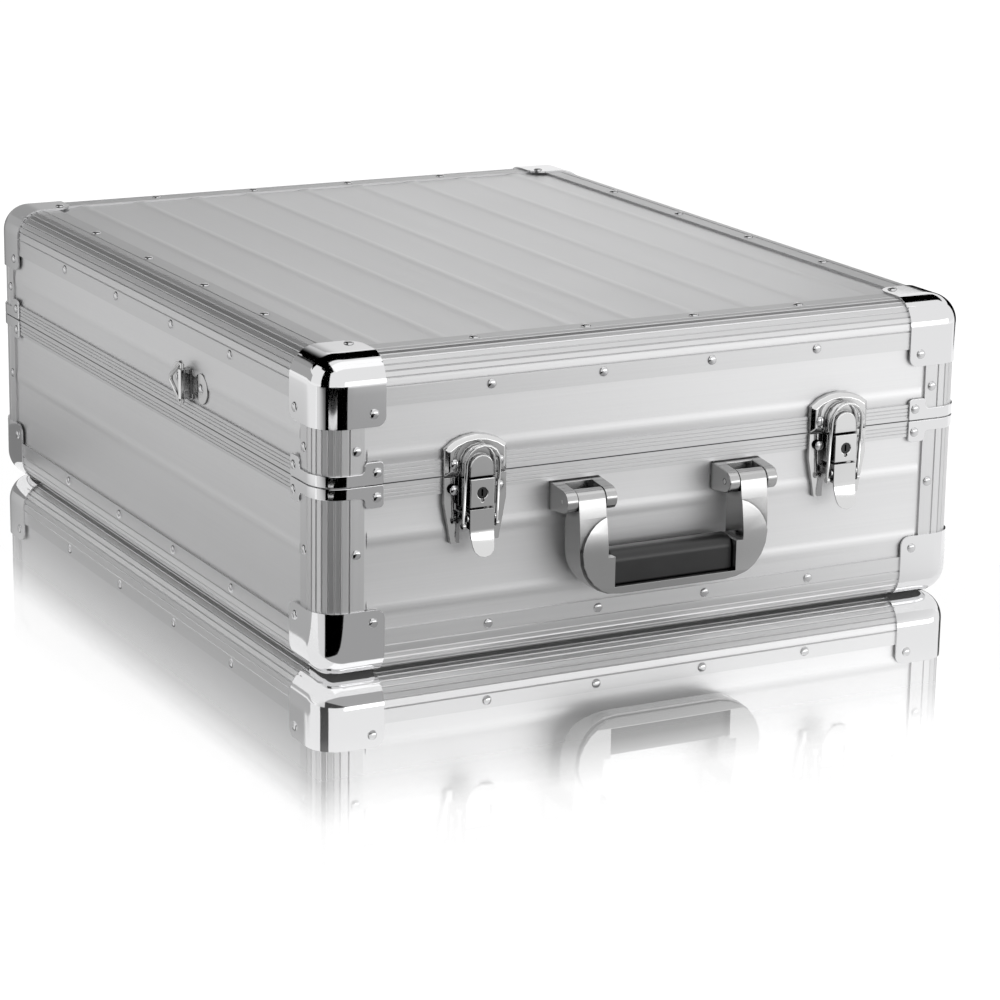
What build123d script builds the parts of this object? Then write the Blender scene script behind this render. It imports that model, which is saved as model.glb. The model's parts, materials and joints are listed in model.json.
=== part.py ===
from build123d import *
import os
from math import asin, atan2, cos, degrees, hypot, radians, sin

# Whole case, measured over the outer faces of the edge profiles
WIDTH = 446.0
DEPTH = 538.0
BODY_HEIGHT = 193.0
SEAM_RISE = 0.6062 * BODY_HEIGHT
LID_RISE = BODY_HEIGHT - SEAM_RISE
SEAM_GAP = 0.3

# Panels: ribbed sheet on ply
PANEL_THICK = 7.0
PANEL_FIT = 0.2
RIB_PITCH = 0.0955 * WIDTH
RIB_WIDTH = 11.0
RIB_HEIGHT = 0.9
RIB_SHAPE = ((-1, 0), (-0.45, 0.85), (0.45, 0.85), (1, 0))
TOP_RIBS = 9
FRONT_RIB_RISES = (0.35 * SEAM_RISE, 0.715 * SEAM_RISE)
SIDE_RIB_RISE = 0.638 * SEAM_RISE
LID_SIDE_RIB_RISE = 0.355 * LID_RISE

# Edge profile section
EDGE_LEG = 30.0
LOW_LEG = 28.0
POST_LEG = 28.0
FLANGE = 1.5
NOSE_RADIUS = 17.0
NOSE_GROOVES = 6
NOSE_GROOVE_WIDTH = 1.1
NOSE_GROOVE_DEPTH = 0.5
FLANGE_GROOVE_AT = 18.6
LIP_THICK = 1.5
LIP_REACH = 24.0

# Closing profile section, from the seam
CLOSING_RISE = 10.3
CLOSING_WEB = 5.0
CLOSING_GROOVE_RISES = (3.4, 5.7, 8.0)
CLOSING_GROOVE_WIDTH = 0.7
CLOSING_GROOVE_DEPTH = 0.35
CLOSING_LIP_RISE = 12.0
TONGUE_AT = 5.0
TONGUE_THICK = 1.6
TONGUE_RISE = 3.0
TONGUE_CLEARANCE = 0.7

# Corner caps and the straps either side of the seam
CAP_WALL = 1.2
CAP_LEAF = 41.2
CAP_SIDE_CORNER = 6.0
CAP_TOP_CORNER = 12.0
NOSE_FLATS = 4
CAP_RIVET_INSET = 33.4
CAP_INNER_CUT = 0.8
STRAP_WALL = 1.2
STRAP_BAND = 7.0
STRAP_TAB_RISE = 13.6
STRAP_TAB_START = 27.5
STRAP_TAB_END = 40.0
STRAP_RIVET_INSET = 35.6
STRAP_RIVET_RISE = 7.4

# Rivets
RIVET_RADIUS = 2.9
RIVET_RISE = 1.3
RIVET_SIDES = 6
RIVET_SLOPE = 38.0
RIVET_INSET = 23.0
FRONT_RIVET_PITCH = 0.1686 * WIDTH
SIDE_RIVET_PITCH = 0.1721 * DEPTH
FLANGE_RIVETS = 4
LID_POST_RIVET_RISE = 21.0
BASE_POST_RIVET_DROP = 41.0

# Key latches: places are along the front, up from the seam, and out from the front
LATCH_SPACING = 0.568 * WIDTH
LATCH_SHIFT = 2.7
PLATE_WIDTH = 41.4
PLATE_OUT = 4.5
PLATE_WALL_OUT = 2.4
PLATE_DRAFT = 2.6
PLATE_SEAM_GAP = 0.5
HOOK_SHOULDER_RISE = 17.0
HOOK_TOP_RISE = 24.6
FOOT_SHOULDER_DROP = 16.0
FOOT_DROP = 41.0
FOOT_WIDTH = 32.0
FOOT_NOTCH_WIDTH = 20.0
FOOT_NOTCH_DROP = 31.0
HUMP_WIDTH = 22.4
HUMP_RISE = 19.0
HUMP_OUT = 7.4
BOSS_WIDTH = 16.0
BOSS_RISE = 13.6
BOSS_OUT = 11.0
LATCH_FACE_OUT = 12.0
LOCK_DROP = 17.8
KEYHOLE_DROP = 9.2
KEYHOLE_RADIUS = 3.3
KEYWAY_WIDTH = 1.6
KEYWAY_DROP = 5.4
BARREL_LENGTH = 6.0
BARREL_SINK = 0.5
BARREL_BACK_GAP = 0.3
KEY_SLOT = (1.1, 4.2, 2.5)
BARREL_FIT = 0.05
LEVER_TOP_DROP = 19.0
LEVER_BEND_DROP = 31.0
LEVER_TIP_DROP = 47.2
LEVER_TIP_OUT = 16.6
LEVER_THICK = 1.2
LEVER_WALL_DROP = 31.0
LEVER_WALL_OUT = 7.5
LEVER_TIP_RADIUS = 6.6
LEVER_TIP_WIDTH = 14.4
PIVOT_OUT = 9.5
PIVOT_DROP = 24.5
PIVOT_RADIUS = 1.0
PIVOT_FIT = 0.05
EAR_GAP = 0.4
EAR_THICK = 1.1
EAR_RADIUS = 2.2
BAIL_PIVOT_OUT = 9.0
BAIL_PIVOT_DROP = 29.0
BAIL_WIRE = 1.1
BAIL_STUB = 0.9
BAIL_EYE = 2.0
BAIL_EYE_WIDTH = 1.8
BAIL_WIDTH = 22.0
BAIL_TOP_RISE = 19.5
BAIL_TOP_OUT = 12.6
LATCH_RIVET_SPREAD = 29.4
LATCH_RIVET_RISE = 7.8

# Carrying handle: places as for the latches
ARM_WIDTH = 18.4
ARM_CENTRE = 56.2
HANDLE_SHIFT = 0.8
HANDLE_PIVOT_OUT = 15.0
HANDLE_PIVOT_DROP = 19.9
HUB_RADIUS = 6.6
HUB_GAP = 0.4
BRACKET_WIDTH = 33.8
BRACKET_TOP_DROP = 11.0
BRACKET_BOTTOM_DROP = 28.6
BRACKET_NOSE = 7.0
BRACKET_BACK_OUT = 3.2
HANDLE_PIN = 1.6
HANDLE_PIN_FIT = 0.05
HANDLE_BOTTOM_DROP = 80.0
HANDLE_CORNER = 29.0
HANDLE_BACK_OUT = 5.5
HANDLE_BULGE_OUT = 24.0
HANDLE_BACK_CHAMFER = 4.5
CHEEK_OUT = 26.5
CHEEK_TOP_DROP = 30.0
CHEEK_WAIST_DROP = 50.0
CHEEK_INSET = 1.2
WINDOW_BOTTOM_DROP = 54.5
CHEEK_BITE = 4.8
GRIP_TOP_DROP = 52.5
GRIP_BOTTOM_DROP = 73.4
GRIP_BACK_OUT = 4.5
GRIP_FRONT_OUT = 22.0
GRIP_ROUND = 7.5

# Strap rings on the lid's sides: along from the middle, up from the seam
RING_FORWARD = 0.139 * DEPTH
RING_RISE = 21.5
LOBE_SPREAD = 36.0
LOBE_RADIUS = 9.8
LOBE_THICK = 1.2
RING_AXIS_OUT = 4.4
RING_WIRE = 1.4
RING_HALF = 14.5
RING_REACH = 21.0
RING_BEND = 3.0
TUBE_LENGTH = 19.0
TUBE_WALL = 1.1
TUBE_FIT = 0.08

# Back hinges
HINGE_SPACING = 0.56 * WIDTH
HINGE_WIDTH = 54.0
HINGE_LEAF_RISE = 28.0
HINGE_LEAF_THICK = 1.6
HINGE_AXIS_OUT = 4.0
KNUCKLE_RADIUS = 3.5
KNUCKLE_SHARE = 18.0
KNUCKLE_GAP = 0.4
HINGE_PIN = 1.25
HINGE_PIN_FIT = 0.05
HINGE_RIVETS = 3
HINGE_RIVET_RISE = 20.0

# Foam lining
FOAM_FLOOR = 20.0
FOAM_TOP = 15.0
FOAM_WALL = 12.0
FOAM_SEAM_GAP = 2.0

# Rounds that stay small are made of flats
PIN_SIDES = 12
CORNER_FLATS = 3
ARC_FLATS = 6
LEVER_FLARE = ((0.25, 0.12), (0.6, 0.5), (1.0, 1.0))
ROUND_SIDES = 16
WIRE_SIDES = 8

# Derived places
FRONT_REACH = CHEEK_OUT
REAR_REACH = HINGE_AXIS_OUT + KNUCKLE_RADIUS
Y_FRONT = -(DEPTH + REAR_REACH - FRONT_REACH) / 2
Y_REAR = Y_FRONT + DEPTH
Y_MIDDLE = Y_FRONT + DEPTH / 2
Z_BOTTOM = CAP_WALL
Z_SEAM = Z_BOTTOM + SEAM_RISE
Z_TOP = Z_BOTTOM + BODY_HEIGHT
SLOT_FLOOR = NOSE_RADIUS
INNER = FLANGE + PANEL_THICK + LIP_THICK
BARREL_RADIUS = KEYHOLE_RADIUS - BARREL_FIT

SIDES = {
    "front": ((0, Y_FRONT), (1, 0, 0), (0, -1, 0), WIDTH),
    "rear": ((0, Y_REAR), (-1, 0, 0), (0, 1, 0), WIDTH),
    "left": ((-WIDTH / 2, Y_MIDDLE), (0, -1, 0), (-1, 0, 0), DEPTH),
    "right": ((WIDTH / 2, Y_MIDDLE), (0, 1, 0), (1, 0, 0), DEPTH),
}
CORNERS = (
    ((-WIDTH / 2, Y_FRONT), (1, 0, 0)),
    ((WIDTH / 2, Y_FRONT), (0, 1, 0)),
    ((WIDTH / 2, Y_REAR), (-1, 0, 0)),
    ((-WIDTH / 2, Y_REAR), (0, -1, 0)),
)


def side_plane(side, height):
    """Plane on a side's outer face: x along it, y up, z outwards."""
    (x, y), along, outward, _ = SIDES[side]
    return Plane(origin=(x, y, height), x_dir=along, z_dir=outward)


def corner_plane(index, height, upwards=True):
    """Plane at a vertical corner: x and y run inwards along the two faces."""
    (x, y), _ = CORNERS[index]
    first = index if upwards else (index + 1) % len(CORNERS)
    lift = (0, 0, 1) if upwards else (0, 0, -1)
    return Plane(origin=(x, y, height), x_dir=CORNERS[first][1], z_dir=lift)


def along_side(section, length):
    """Extrudes a section, drawn inwards and upwards, along a side, centred on it."""
    start = Plane(origin=(-length / 2, 0, 0), x_dir=(0, 0, -1), z_dir=(1, 0, 0))
    return extrude(start * section, amount=length)


def across(profile, width, centre=0.0):
    """Extrudes a profile, drawn outwards and upwards, across a width along the side."""
    start = Plane(origin=(centre + width / 2, 0, 0), x_dir=(0, 0, 1), z_dir=(-1, 0, 0))
    return extrude(start * profile, amount=width)


def rod(radius, length, out, rise, centre=0.0):
    """Bar of flats along the side, at a distance out and up."""
    return across(Pos(out, rise) * RegularPolygon(radius, PIN_SIDES), length, centre)


def bore(radius, length, out, rise, centre=0.0):
    """Hole for such a bar: the radius is measured to its flats."""
    return across(Pos(out, rise) * RegularPolygon(radius, PIN_SIDES, major_radius=False), length, centre)


def upside_down(section):
    """The same section drawn downwards."""
    return mirror(section, about=Plane.XZ)


def group(pieces):
    """One node made of separate solids."""
    return Compound([solid for piece in pieces for solid in piece.solids()])


def polygon(points):
    """Face inside straight edges."""
    return make_face(Polyline(*points, points[0]))


def flats_on(curve, steps=ARC_FLATS):
    """Points that break a curve into straight flats."""
    spots = [curve @ (index / steps) for index in range(steps + 1)]
    return [(spot.X, spot.Y) for spot in spots]


def notch(width, depth):
    """V-groove that opens at the origin and goes in along +X."""
    over = depth / 2
    half = width / 2 * (1 + over / depth)
    return make_face(Polyline((depth, 0), (-over, half), (-over, -half), (depth, 0)))


def nose_points():
    """Nose from the first flange to the second, a flat between each two V-grooves."""
    step = 90 / (NOSE_GROOVES + 1)
    half_groove = degrees(NOSE_GROOVE_WIDTH / 2 / NOSE_RADIUS)
    polar = []
    for index in range(1, NOSE_GROOVES + 1):
        turn = 270 - step * index
        polar.append((turn + half_groove, NOSE_RADIUS))
        polar.append((turn, NOSE_RADIUS - NOSE_GROOVE_DEPTH))
        polar.append((turn - half_groove, NOSE_RADIUS))
    middle = NOSE_RADIUS
    ends = [(middle, 0)], [(0, middle)]
    arc = [(middle + r * cos(radians(turn)), middle + r * sin(radians(turn))) for turn, r in polar]
    return ends[0] + arc + ends[1]


def edge_section(leg):
    """Corner profile: grooved round nose, two flanges, lips that hold the panels."""
    panel_back = FLANGE + PANEL_THICK
    points = [(leg, 0)] + nose_points() + [
        (0, leg), (FLANGE, leg), (FLANGE, SLOT_FLOOR), (panel_back, SLOT_FLOOR), (panel_back, LIP_REACH),
        (INNER, LIP_REACH), (INNER, INNER), (LIP_REACH, INNER), (LIP_REACH, panel_back),
        (SLOT_FLOOR, panel_back), (SLOT_FLOOR, FLANGE), (leg, FLANGE),
    ]
    section = make_face(Polyline(*points, points[0]))
    groove = notch(NOSE_GROOVE_WIDTH, NOSE_GROOVE_DEPTH)
    section -= Pos(FLANGE_GROOVE_AT, 0) * Rot(0, 0, 90) * groove
    return section - Pos(0, FLANGE_GROOVE_AT) * groove


def closing_section():
    """Lid half of the closing profile, seam at the origin, without tongue or groove."""
    panel_back = FLANGE + PANEL_THICK
    section = make_face(Polyline(
        (0, 0), (INNER, 0), (INNER, CLOSING_LIP_RISE), (panel_back, CLOSING_LIP_RISE),
        (panel_back, CLOSING_WEB), (FLANGE, CLOSING_WEB), (FLANGE, CLOSING_RISE), (0, CLOSING_RISE), (0, 0),
    ))
    groove = notch(CLOSING_GROOVE_WIDTH, CLOSING_GROOVE_DEPTH)
    for rise in CLOSING_GROOVE_RISES:
        section -= Pos(0, rise) * groove
    return section


def lid_closing_section():
    """The lid half has the groove."""
    width = TONGUE_THICK + 2 * TONGUE_CLEARANCE
    depth = TONGUE_RISE + TONGUE_CLEARANCE
    return closing_section() - Pos(TONGUE_AT, depth / 2) * Rectangle(width, depth)


def base_closing_section():
    """The base half has the tongue that stands into the groove."""
    tongue = Pos(TONGUE_AT, 0) * Rectangle(TONGUE_THICK, 2 * TONGUE_RISE)
    return upside_down(closing_section()) + tongue


def rib_section(at):
    """Shallow rib that stands on the panel's outer face."""
    points = [(FLANGE - proud * RIB_HEIGHT, at + part * RIB_WIDTH / 2) for part, proud in RIB_SHAPE]
    return make_face(Polyline(*points, points[0]))


def panel_sheet(plane, low, high, ribs, outside):
    """Panel reaching into the slots, with ribs only between the flanges."""
    length, rib_length = outside - 2 * (SLOT_FLOOR + PANEL_FIT), outside - 2 * (EDGE_LEG + PANEL_FIT)
    flat = Pos(FLANGE + PANEL_THICK / 2, (low + high) / 2) * Rectangle(PANEL_THICK, high - low)
    sheet = along_side(flat, length)
    for at in ribs:
        sheet += along_side(rib_section(at), rib_length)
    return plane * sheet


def side_panel(side, in_lid):
    """Upright panel between the edge profile and the closing profile."""
    wide = side in ("front", "rear")
    outside = SIDES[side][3]
    if in_lid:
        low = CLOSING_WEB + PANEL_FIT
        high = LID_RISE - SLOT_FLOOR - PANEL_FIT
        beside_bar = CLOSING_RISE + PANEL_FIT + RIB_WIDTH / 2
        ribs = (beside_bar,) if wide else (LID_SIDE_RIB_RISE,)
        return panel_sheet(side_plane(side, Z_SEAM), low, high, ribs, outside)
    low = SLOT_FLOOR + PANEL_FIT
    high = SEAM_RISE - CLOSING_WEB - PANEL_FIT
    ribs = FRONT_RIB_RISES if wide else (SIDE_RIB_RISE,)
    return panel_sheet(side_plane(side, Z_BOTTOM), low, high, ribs, outside)


def flat_panel(on_top):
    """Top or bottom panel: its ribs run from front to rear."""
    half = WIDTH / 2 - SLOT_FLOOR - PANEL_FIT
    height, outward = (Z_TOP, (0, 0, 1)) if on_top else (Z_BOTTOM, (0, 0, -1))
    plane = Plane(origin=(0, Y_MIDDLE, height), x_dir=(0, 1, 0), z_dir=outward)
    return panel_sheet(plane, -half, half, spread(TOP_RIBS, RIB_PITCH), DEPTH)


def edge_bar(side, in_lid):
    """Edge profile along the top or the bottom of one side, cut to butt at the corners."""
    length = SIDES[side][3] - 2 * EDGE_LEG
    if in_lid:
        return side_plane(side, Z_TOP) * along_side(upside_down(edge_section(EDGE_LEG)), length)
    return side_plane(side, Z_BOTTOM) * along_side(edge_section(LOW_LEG), length)


def corner_posts(in_lid):
    """Four upright edge profiles between the caps' corner and the seam."""
    low = Z_SEAM + SEAM_GAP / 2 if in_lid else Z_BOTTOM + EDGE_LEG
    high = Z_TOP - EDGE_LEG if in_lid else Z_SEAM - SEAM_GAP / 2
    post = extrude(edge_section(POST_LEG), amount=high - low)
    return group([corner_plane(index, low) * post for index in range(len(CORNERS))])


def closing_frame(in_lid):
    """Four closing bars between the posts."""
    section = lid_closing_section() if in_lid else base_closing_section()
    bars = []
    for side, (_, _, _, outside) in SIDES.items():
        bars.append(side_plane(side, Z_SEAM) * along_side(section, outside - 2 * POST_LEG))
    return group(bars)


def rounded_corner():
    """Block with its three edges at the profiles' corner rounded, grown by the cap's wall."""
    length = CAP_LEAF + CAP_WALL
    centre = length / 2 - CAP_WALL
    block = Pos(centre, centre, centre) * Box(length, length, length)
    near = [edge for edge in block.edges() if sum(abs(v + CAP_WALL) < 1e-6 for v in tuple(edge.center())) == 2]
    return fillet(near, NOSE_RADIUS + CAP_WALL)


def around_nose(radius):
    """Corners of the flats that stand round the outside of the nose."""
    step = 90 / NOSE_FLATS
    reach = radius / cos(radians(step / 2))
    turns = [270 - step * (index + 0.5) for index in range(NOSE_FLATS)]
    middle = NOSE_RADIUS
    return [(middle + reach * cos(radians(turn)), middle + reach * sin(radians(turn))) for turn in turns]


def nose_prism():
    """Prism of a few flats round the nose, which clears the cap's inside."""
    size = 2 * CAP_LEAF
    points = [(size, 0)] + around_nose(NOSE_RADIUS) + [(0, size), (size, size)]
    return extrude(polygon(points), amount=size, both=True)


def short_of_ball():
    """Half-space that keeps the cap's inside short of its ball corner."""
    at = NOSE_RADIUS * (1 - CAP_INNER_CUT / 3**0.5)
    size = 4 * CAP_LEAF
    return extrude(Plane(origin=(at, at, at), z_dir=(1, 1, 1)) * Rectangle(size, size), amount=size)


def corner_cap():
    """Three-leaf corner cap with a ball corner, corner of the profiles at the origin."""
    inside = nose_prism()
    inside = Plane.XY * inside & Plane.YZ * inside & Plane.ZX * inside & short_of_ball()
    shell = rounded_corner() - inside
    for plane, radius in ((Plane.XY, CAP_TOP_CORNER), (Plane.YZ, CAP_SIDE_CORNER), (Plane.ZX, CAP_SIDE_CORNER)):
        shell &= plane * leaf_outline(radius)
    return shell


def leaf_outline(radius):
    """Prism that gives the leaf facing down its far round corner."""
    size = 2 * CAP_LEAF
    middle = CAP_LEAF - radius
    corner = flats_on(CenterArc((middle, middle), radius, 0, 90), CORNER_FLATS)
    return extrude(polygon([(-size, -size), (CAP_LEAF, -size)] + corner + [(-size, CAP_LEAF)]), amount=size, both=True)


def corner_caps(on_top):
    cap = corner_cap()
    height = Z_TOP if on_top else Z_BOTTOM
    return group([corner_plane(index, height, not on_top) * cap for index in range(len(CORNERS))])


def seam_strap():
    """Band round a corner beside the seam, widening to a riveted tab on each face."""
    wall = -STRAP_WALL
    inner, outer = around_nose(NOSE_RADIUS), around_nose(NOSE_RADIUS + STRAP_WALL)
    points = [(STRAP_TAB_END, 0)] + inner + [(0, STRAP_TAB_END), (wall, STRAP_TAB_END)]
    points += outer[::-1] + [(STRAP_TAB_END, wall)]
    strap = extrude(polygon(points), amount=STRAP_TAB_RISE)
    cut = STRAP_TAB_START + STRAP_WALL
    above = STRAP_TAB_RISE - STRAP_BAND
    corner = Pos(cut / 2 - STRAP_WALL, cut / 2 - STRAP_WALL, STRAP_BAND + above / 2)
    return strap - corner * Box(cut, cut, above)


def seam_straps(in_lid):
    strap = seam_strap()
    height = Z_SEAM + SEAM_GAP if in_lid else Z_SEAM - SEAM_GAP
    return group([corner_plane(index, height, in_lid) * strap for index in range(len(CORNERS))])


def rivet_head():
    """Domed head, simplified to a faceted button, standing on the origin."""
    return extrude(RegularPolygon(RIVET_RADIUS, RIVET_SIDES), amount=RIVET_RISE, taper=RIVET_SLOPE)


def spread(count, pitch):
    """Evenly spaced places, centred on zero."""
    return [pitch * (index - (count - 1) / 2) for index in range(count)]


def pitch_for(side):
    return FRONT_RIVET_PITCH if side in ("front", "rear") else SIDE_RIVET_PITCH


def side_rivets(in_lid):
    """Rivets in the flanges, posts, caps and straps of the four sides."""
    turn = 1 if in_lid else -1
    far = LID_RISE if in_lid else SEAM_RISE
    post_rise = LID_POST_RIVET_RISE if in_lid else BASE_POST_RIVET_DROP
    places = []
    for side, (_, _, _, outside) in SIDES.items():
        half = outside / 2
        spots = [(x, far - RIVET_INSET, 0) for x in spread(FLANGE_RIVETS, pitch_for(side))]
        for end in (-1, 1):
            spots.append((end * (half - RIVET_INSET), post_rise, 0))
            spots.append((end * (half - CAP_RIVET_INSET), far - CAP_RIVET_INSET, CAP_WALL))
            spots.append((end * (half - STRAP_RIVET_INSET), STRAP_RIVET_RISE, STRAP_WALL))
        places += [side_plane(side, Z_SEAM) * Pos(x, turn * rise, out) for x, rise, out in spots]
    return places


def top_rivets():
    """Rivets in the top flanges and the caps' top leaves."""
    places = []
    for end in (-1, 1):
        y = Y_MIDDLE + end * (DEPTH / 2 - RIVET_INSET)
        x = end * (WIDTH / 2 - RIVET_INSET)
        places += [Pos(along, y, Z_TOP) for along in spread(FLANGE_RIVETS, FRONT_RIVET_PITCH)]
        places += [Pos(x, Y_MIDDLE + along, Z_TOP) for along in spread(FLANGE_RIVETS, SIDE_RIVET_PITCH)]
        for other in (-1, 1):
            cap_x = other * (WIDTH / 2 - CAP_RIVET_INSET)
            cap_y = Y_MIDDLE + end * (DEPTH / 2 - CAP_RIVET_INSET)
            places.append(Pos(cap_x, cap_y, Z_TOP + CAP_WALL))
    return places


def latch_rivets(in_lid):
    turn = 1 if in_lid else -1
    places = []
    for latch in (-1, 1):
        for end in (-1, 1):
            x = LATCH_SHIFT + latch * LATCH_SPACING / 2 + end * LATCH_RIVET_SPREAD / 2
            places.append(side_plane("front", Z_SEAM) * Pos(x, turn * LATCH_RIVET_RISE, PLATE_OUT))
    return places


def hinge_rivets(in_lid):
    turn = 1 if in_lid else -1
    leaf_out = HINGE_LEAF_THICK - FLANGE
    places = []
    for hinge in (-1, 1):
        for along in spread(HINGE_RIVETS, HINGE_WIDTH / HINGE_RIVETS):
            x = hinge * HINGE_SPACING / 2 + along
            places.append(side_plane("rear", Z_SEAM) * Pos(x, turn * HINGE_RIVET_RISE, leaf_out))
    return places


def strap_plate_rivets():
    places = []
    for side, forward in (("left", 1), ("right", -1)):
        for end in (-1, 1):
            x = forward * RING_FORWARD + end * LOBE_SPREAD / 2
            places.append(side_plane(side, Z_SEAM) * Pos(x, RING_RISE, LOBE_THICK - FLANGE))
    return places


def rivets(in_lid):
    places = side_rivets(in_lid) + latch_rivets(in_lid) + hinge_rivets(in_lid)
    if in_lid:
        places += top_rivets() + strap_plate_rivets()
    head = rivet_head()
    return group([place * head for place in places])


def pan(outline):
    """Pressed plate: an upright rim on the panel, then sloped walls to a flat face."""
    rim = Pos(0, 0, -FLANGE) * extrude(outline, amount=PLATE_WALL_OUT + FLANGE)
    rise = PLATE_OUT - PLATE_WALL_OUT
    slope = degrees(atan2(PLATE_DRAFT, rise))
    return rim + Pos(0, 0, PLATE_WALL_OUT) * extrude(outline, amount=rise, taper=slope)


def closing_bar_space():
    """Room that the closing profile takes, which a plate over the seam leaves free."""
    return Pos(0, 0, -FLANGE / 2) * Box(2 * PLATE_WIDTH, 2 * (CLOSING_RISE + PANEL_FIT), FLANGE)


def hook_plate():
    """Latch plate on the lid: arched top, raised hump and the boss under the bail."""
    half = PLATE_WIDTH / 2
    top = flats_on(ThreePointArc((half, HOOK_SHOULDER_RISE), (0, HOOK_TOP_RISE), (-half, HOOK_SHOULDER_RISE)))
    outline = polygon([(-half, PLATE_SEAM_GAP), (half, PLATE_SEAM_GAP)] + top)
    plate = pan(outline) - closing_bar_space()
    hump = arch(HUMP_WIDTH, PLATE_SEAM_GAP, HUMP_RISE)
    boss = arch(BOSS_WIDTH, PLATE_SEAM_GAP, BOSS_RISE)
    plate += extrude(hump, amount=HUMP_OUT)
    return plate + extrude(boss, amount=BOSS_OUT)


def arch(width, low, high):
    """Upright tab with a round top, made of flats."""
    radius = width / 2
    spring = high - radius
    turns = [180 * index / (ROUND_SIDES / 2) for index in range(ROUND_SIDES // 2 + 1)]
    top = [(radius * cos(radians(turn)), spring + radius * sin(radians(turn))) for turn in turns]
    points = [(radius, low)] + top + [(-radius, low)]
    return make_face(Polyline(*points, points[0]))


def foot_plate():
    """Latch plate on the base: tapering legs, pivot ears and a step under the lock."""
    half = PLATE_WIDTH / 2
    toe = FOOT_WIDTH / 2
    outline = make_face(Polyline(
        (-half, -PLATE_SEAM_GAP), (half, -PLATE_SEAM_GAP), (half, -FOOT_SHOULDER_DROP), (toe, -FOOT_DROP),
        (-toe, -FOOT_DROP), (-half, -FOOT_SHOULDER_DROP), (-half, -PLATE_SEAM_GAP),
    ))
    plate = pan(outline) - closing_bar_space()
    notch_height = FOOT_DROP - FOOT_NOTCH_DROP
    notch_centre = Pos(0, -FOOT_NOTCH_DROP - notch_height, PLATE_OUT / 2 - FLANGE)
    plate -= notch_centre * Box(FOOT_NOTCH_WIDTH, 2 * notch_height, 2 * PLATE_OUT)
    step_height = LOCK_DROP - PLATE_SEAM_GAP
    plate += Pos(0, -PLATE_SEAM_GAP - step_height / 2, HUMP_OUT / 2) * Box(HUMP_WIDTH, step_height, HUMP_OUT)
    floor = LATCH_FACE_OUT - BARREL_SINK - BARREL_LENGTH - BARREL_BACK_GAP
    plate -= Pos(0, -KEYHOLE_DROP, floor) * extrude(keyhole(), amount=HUMP_OUT)
    return plate + pivot_ears()


def pivot_ears():
    """Two ears that carry the lever's pin, outside the lever's walls."""
    profile = Pos(PIVOT_OUT, -PIVOT_DROP) * RegularPolygon(EAR_RADIUS, PIN_SIDES)
    profile += Pos(PIVOT_OUT / 2, -PIVOT_DROP) * Rectangle(PIVOT_OUT, 2 * EAR_RADIUS * cos(radians(15)))
    profile -= Pos(PIVOT_OUT, -PIVOT_DROP) * RegularPolygon(PIVOT_RADIUS, PIN_SIDES)
    centre = BOSS_WIDTH / 2 + EAR_GAP + EAR_THICK / 2
    return across(profile, EAR_THICK, centre) + across(profile, EAR_THICK, -centre)


def keyhole():
    """Round hole of flats for the lock's barrel."""
    return RegularPolygon(KEYHOLE_RADIUS, PIN_SIDES, major_radius=False)


def lock_case():
    """Lock housing between the bail's legs, with the keyhole and its keyway."""
    height = LOCK_DROP - PLATE_SEAM_GAP
    depth = LATCH_FACE_OUT - HUMP_OUT
    case = Pos(0, -PLATE_SEAM_GAP - height / 2, HUMP_OUT + depth / 2) * Box(BOSS_WIDTH, height, depth)
    case -= Pos(0, -KEYHOLE_DROP, HUMP_OUT) * extrude(keyhole(), amount=depth, both=True)
    keyway = Box(KEYWAY_WIDTH, KEYWAY_DROP, 2)
    return case - Pos(0, -KEYHOLE_DROP - KEYWAY_DROP / 2, LATCH_FACE_OUT) * keyway


def key_barrel():
    """Turning cylinder of the lock, with its key slot."""
    front = LATCH_FACE_OUT - BARREL_SINK
    round_bar = RegularPolygon(BARREL_RADIUS, PIN_SIDES)
    barrel = Pos(0, -KEYHOLE_DROP, front - BARREL_LENGTH) * extrude(round_bar, amount=BARREL_LENGTH)
    width, height, depth = KEY_SLOT
    return barrel - Pos(0, -KEYHOLE_DROP, front) * Box(width, height, 2 * depth)


def lever_side():
    """Side view of the lever's plate: upright, then flared out to the fingertip."""
    flare = LEVER_TIP_OUT - LATCH_FACE_OUT
    drop = LEVER_TIP_DROP - LEVER_BEND_DROP
    front = [(LATCH_FACE_OUT, -LEVER_TOP_DROP), (LATCH_FACE_OUT, -LEVER_BEND_DROP)]
    front += [(LATCH_FACE_OUT + out * flare, -LEVER_BEND_DROP - down * drop) for down, out in LEVER_FLARE]
    back = [(out - LEVER_THICK, rise) for out, rise in front]
    return polygon(front + back[::-1])


def lever_front():
    """Front view of the lever: straight flap, narrower round tip."""
    half, tip = BOSS_WIDTH / 2, LEVER_TIP_WIDTH / 2
    spring = LEVER_TIP_RADIUS - LEVER_TIP_DROP
    side = [(half, -LEVER_TOP_DROP), (half, -LEVER_BEND_DROP)]
    side += flats_on(CenterArc((tip - LEVER_TIP_RADIUS, spring), LEVER_TIP_RADIUS, 0, -90), ARC_FLATS // 2)
    return polygon(side + [(-x, y) for x, y in side[::-1]])


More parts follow.
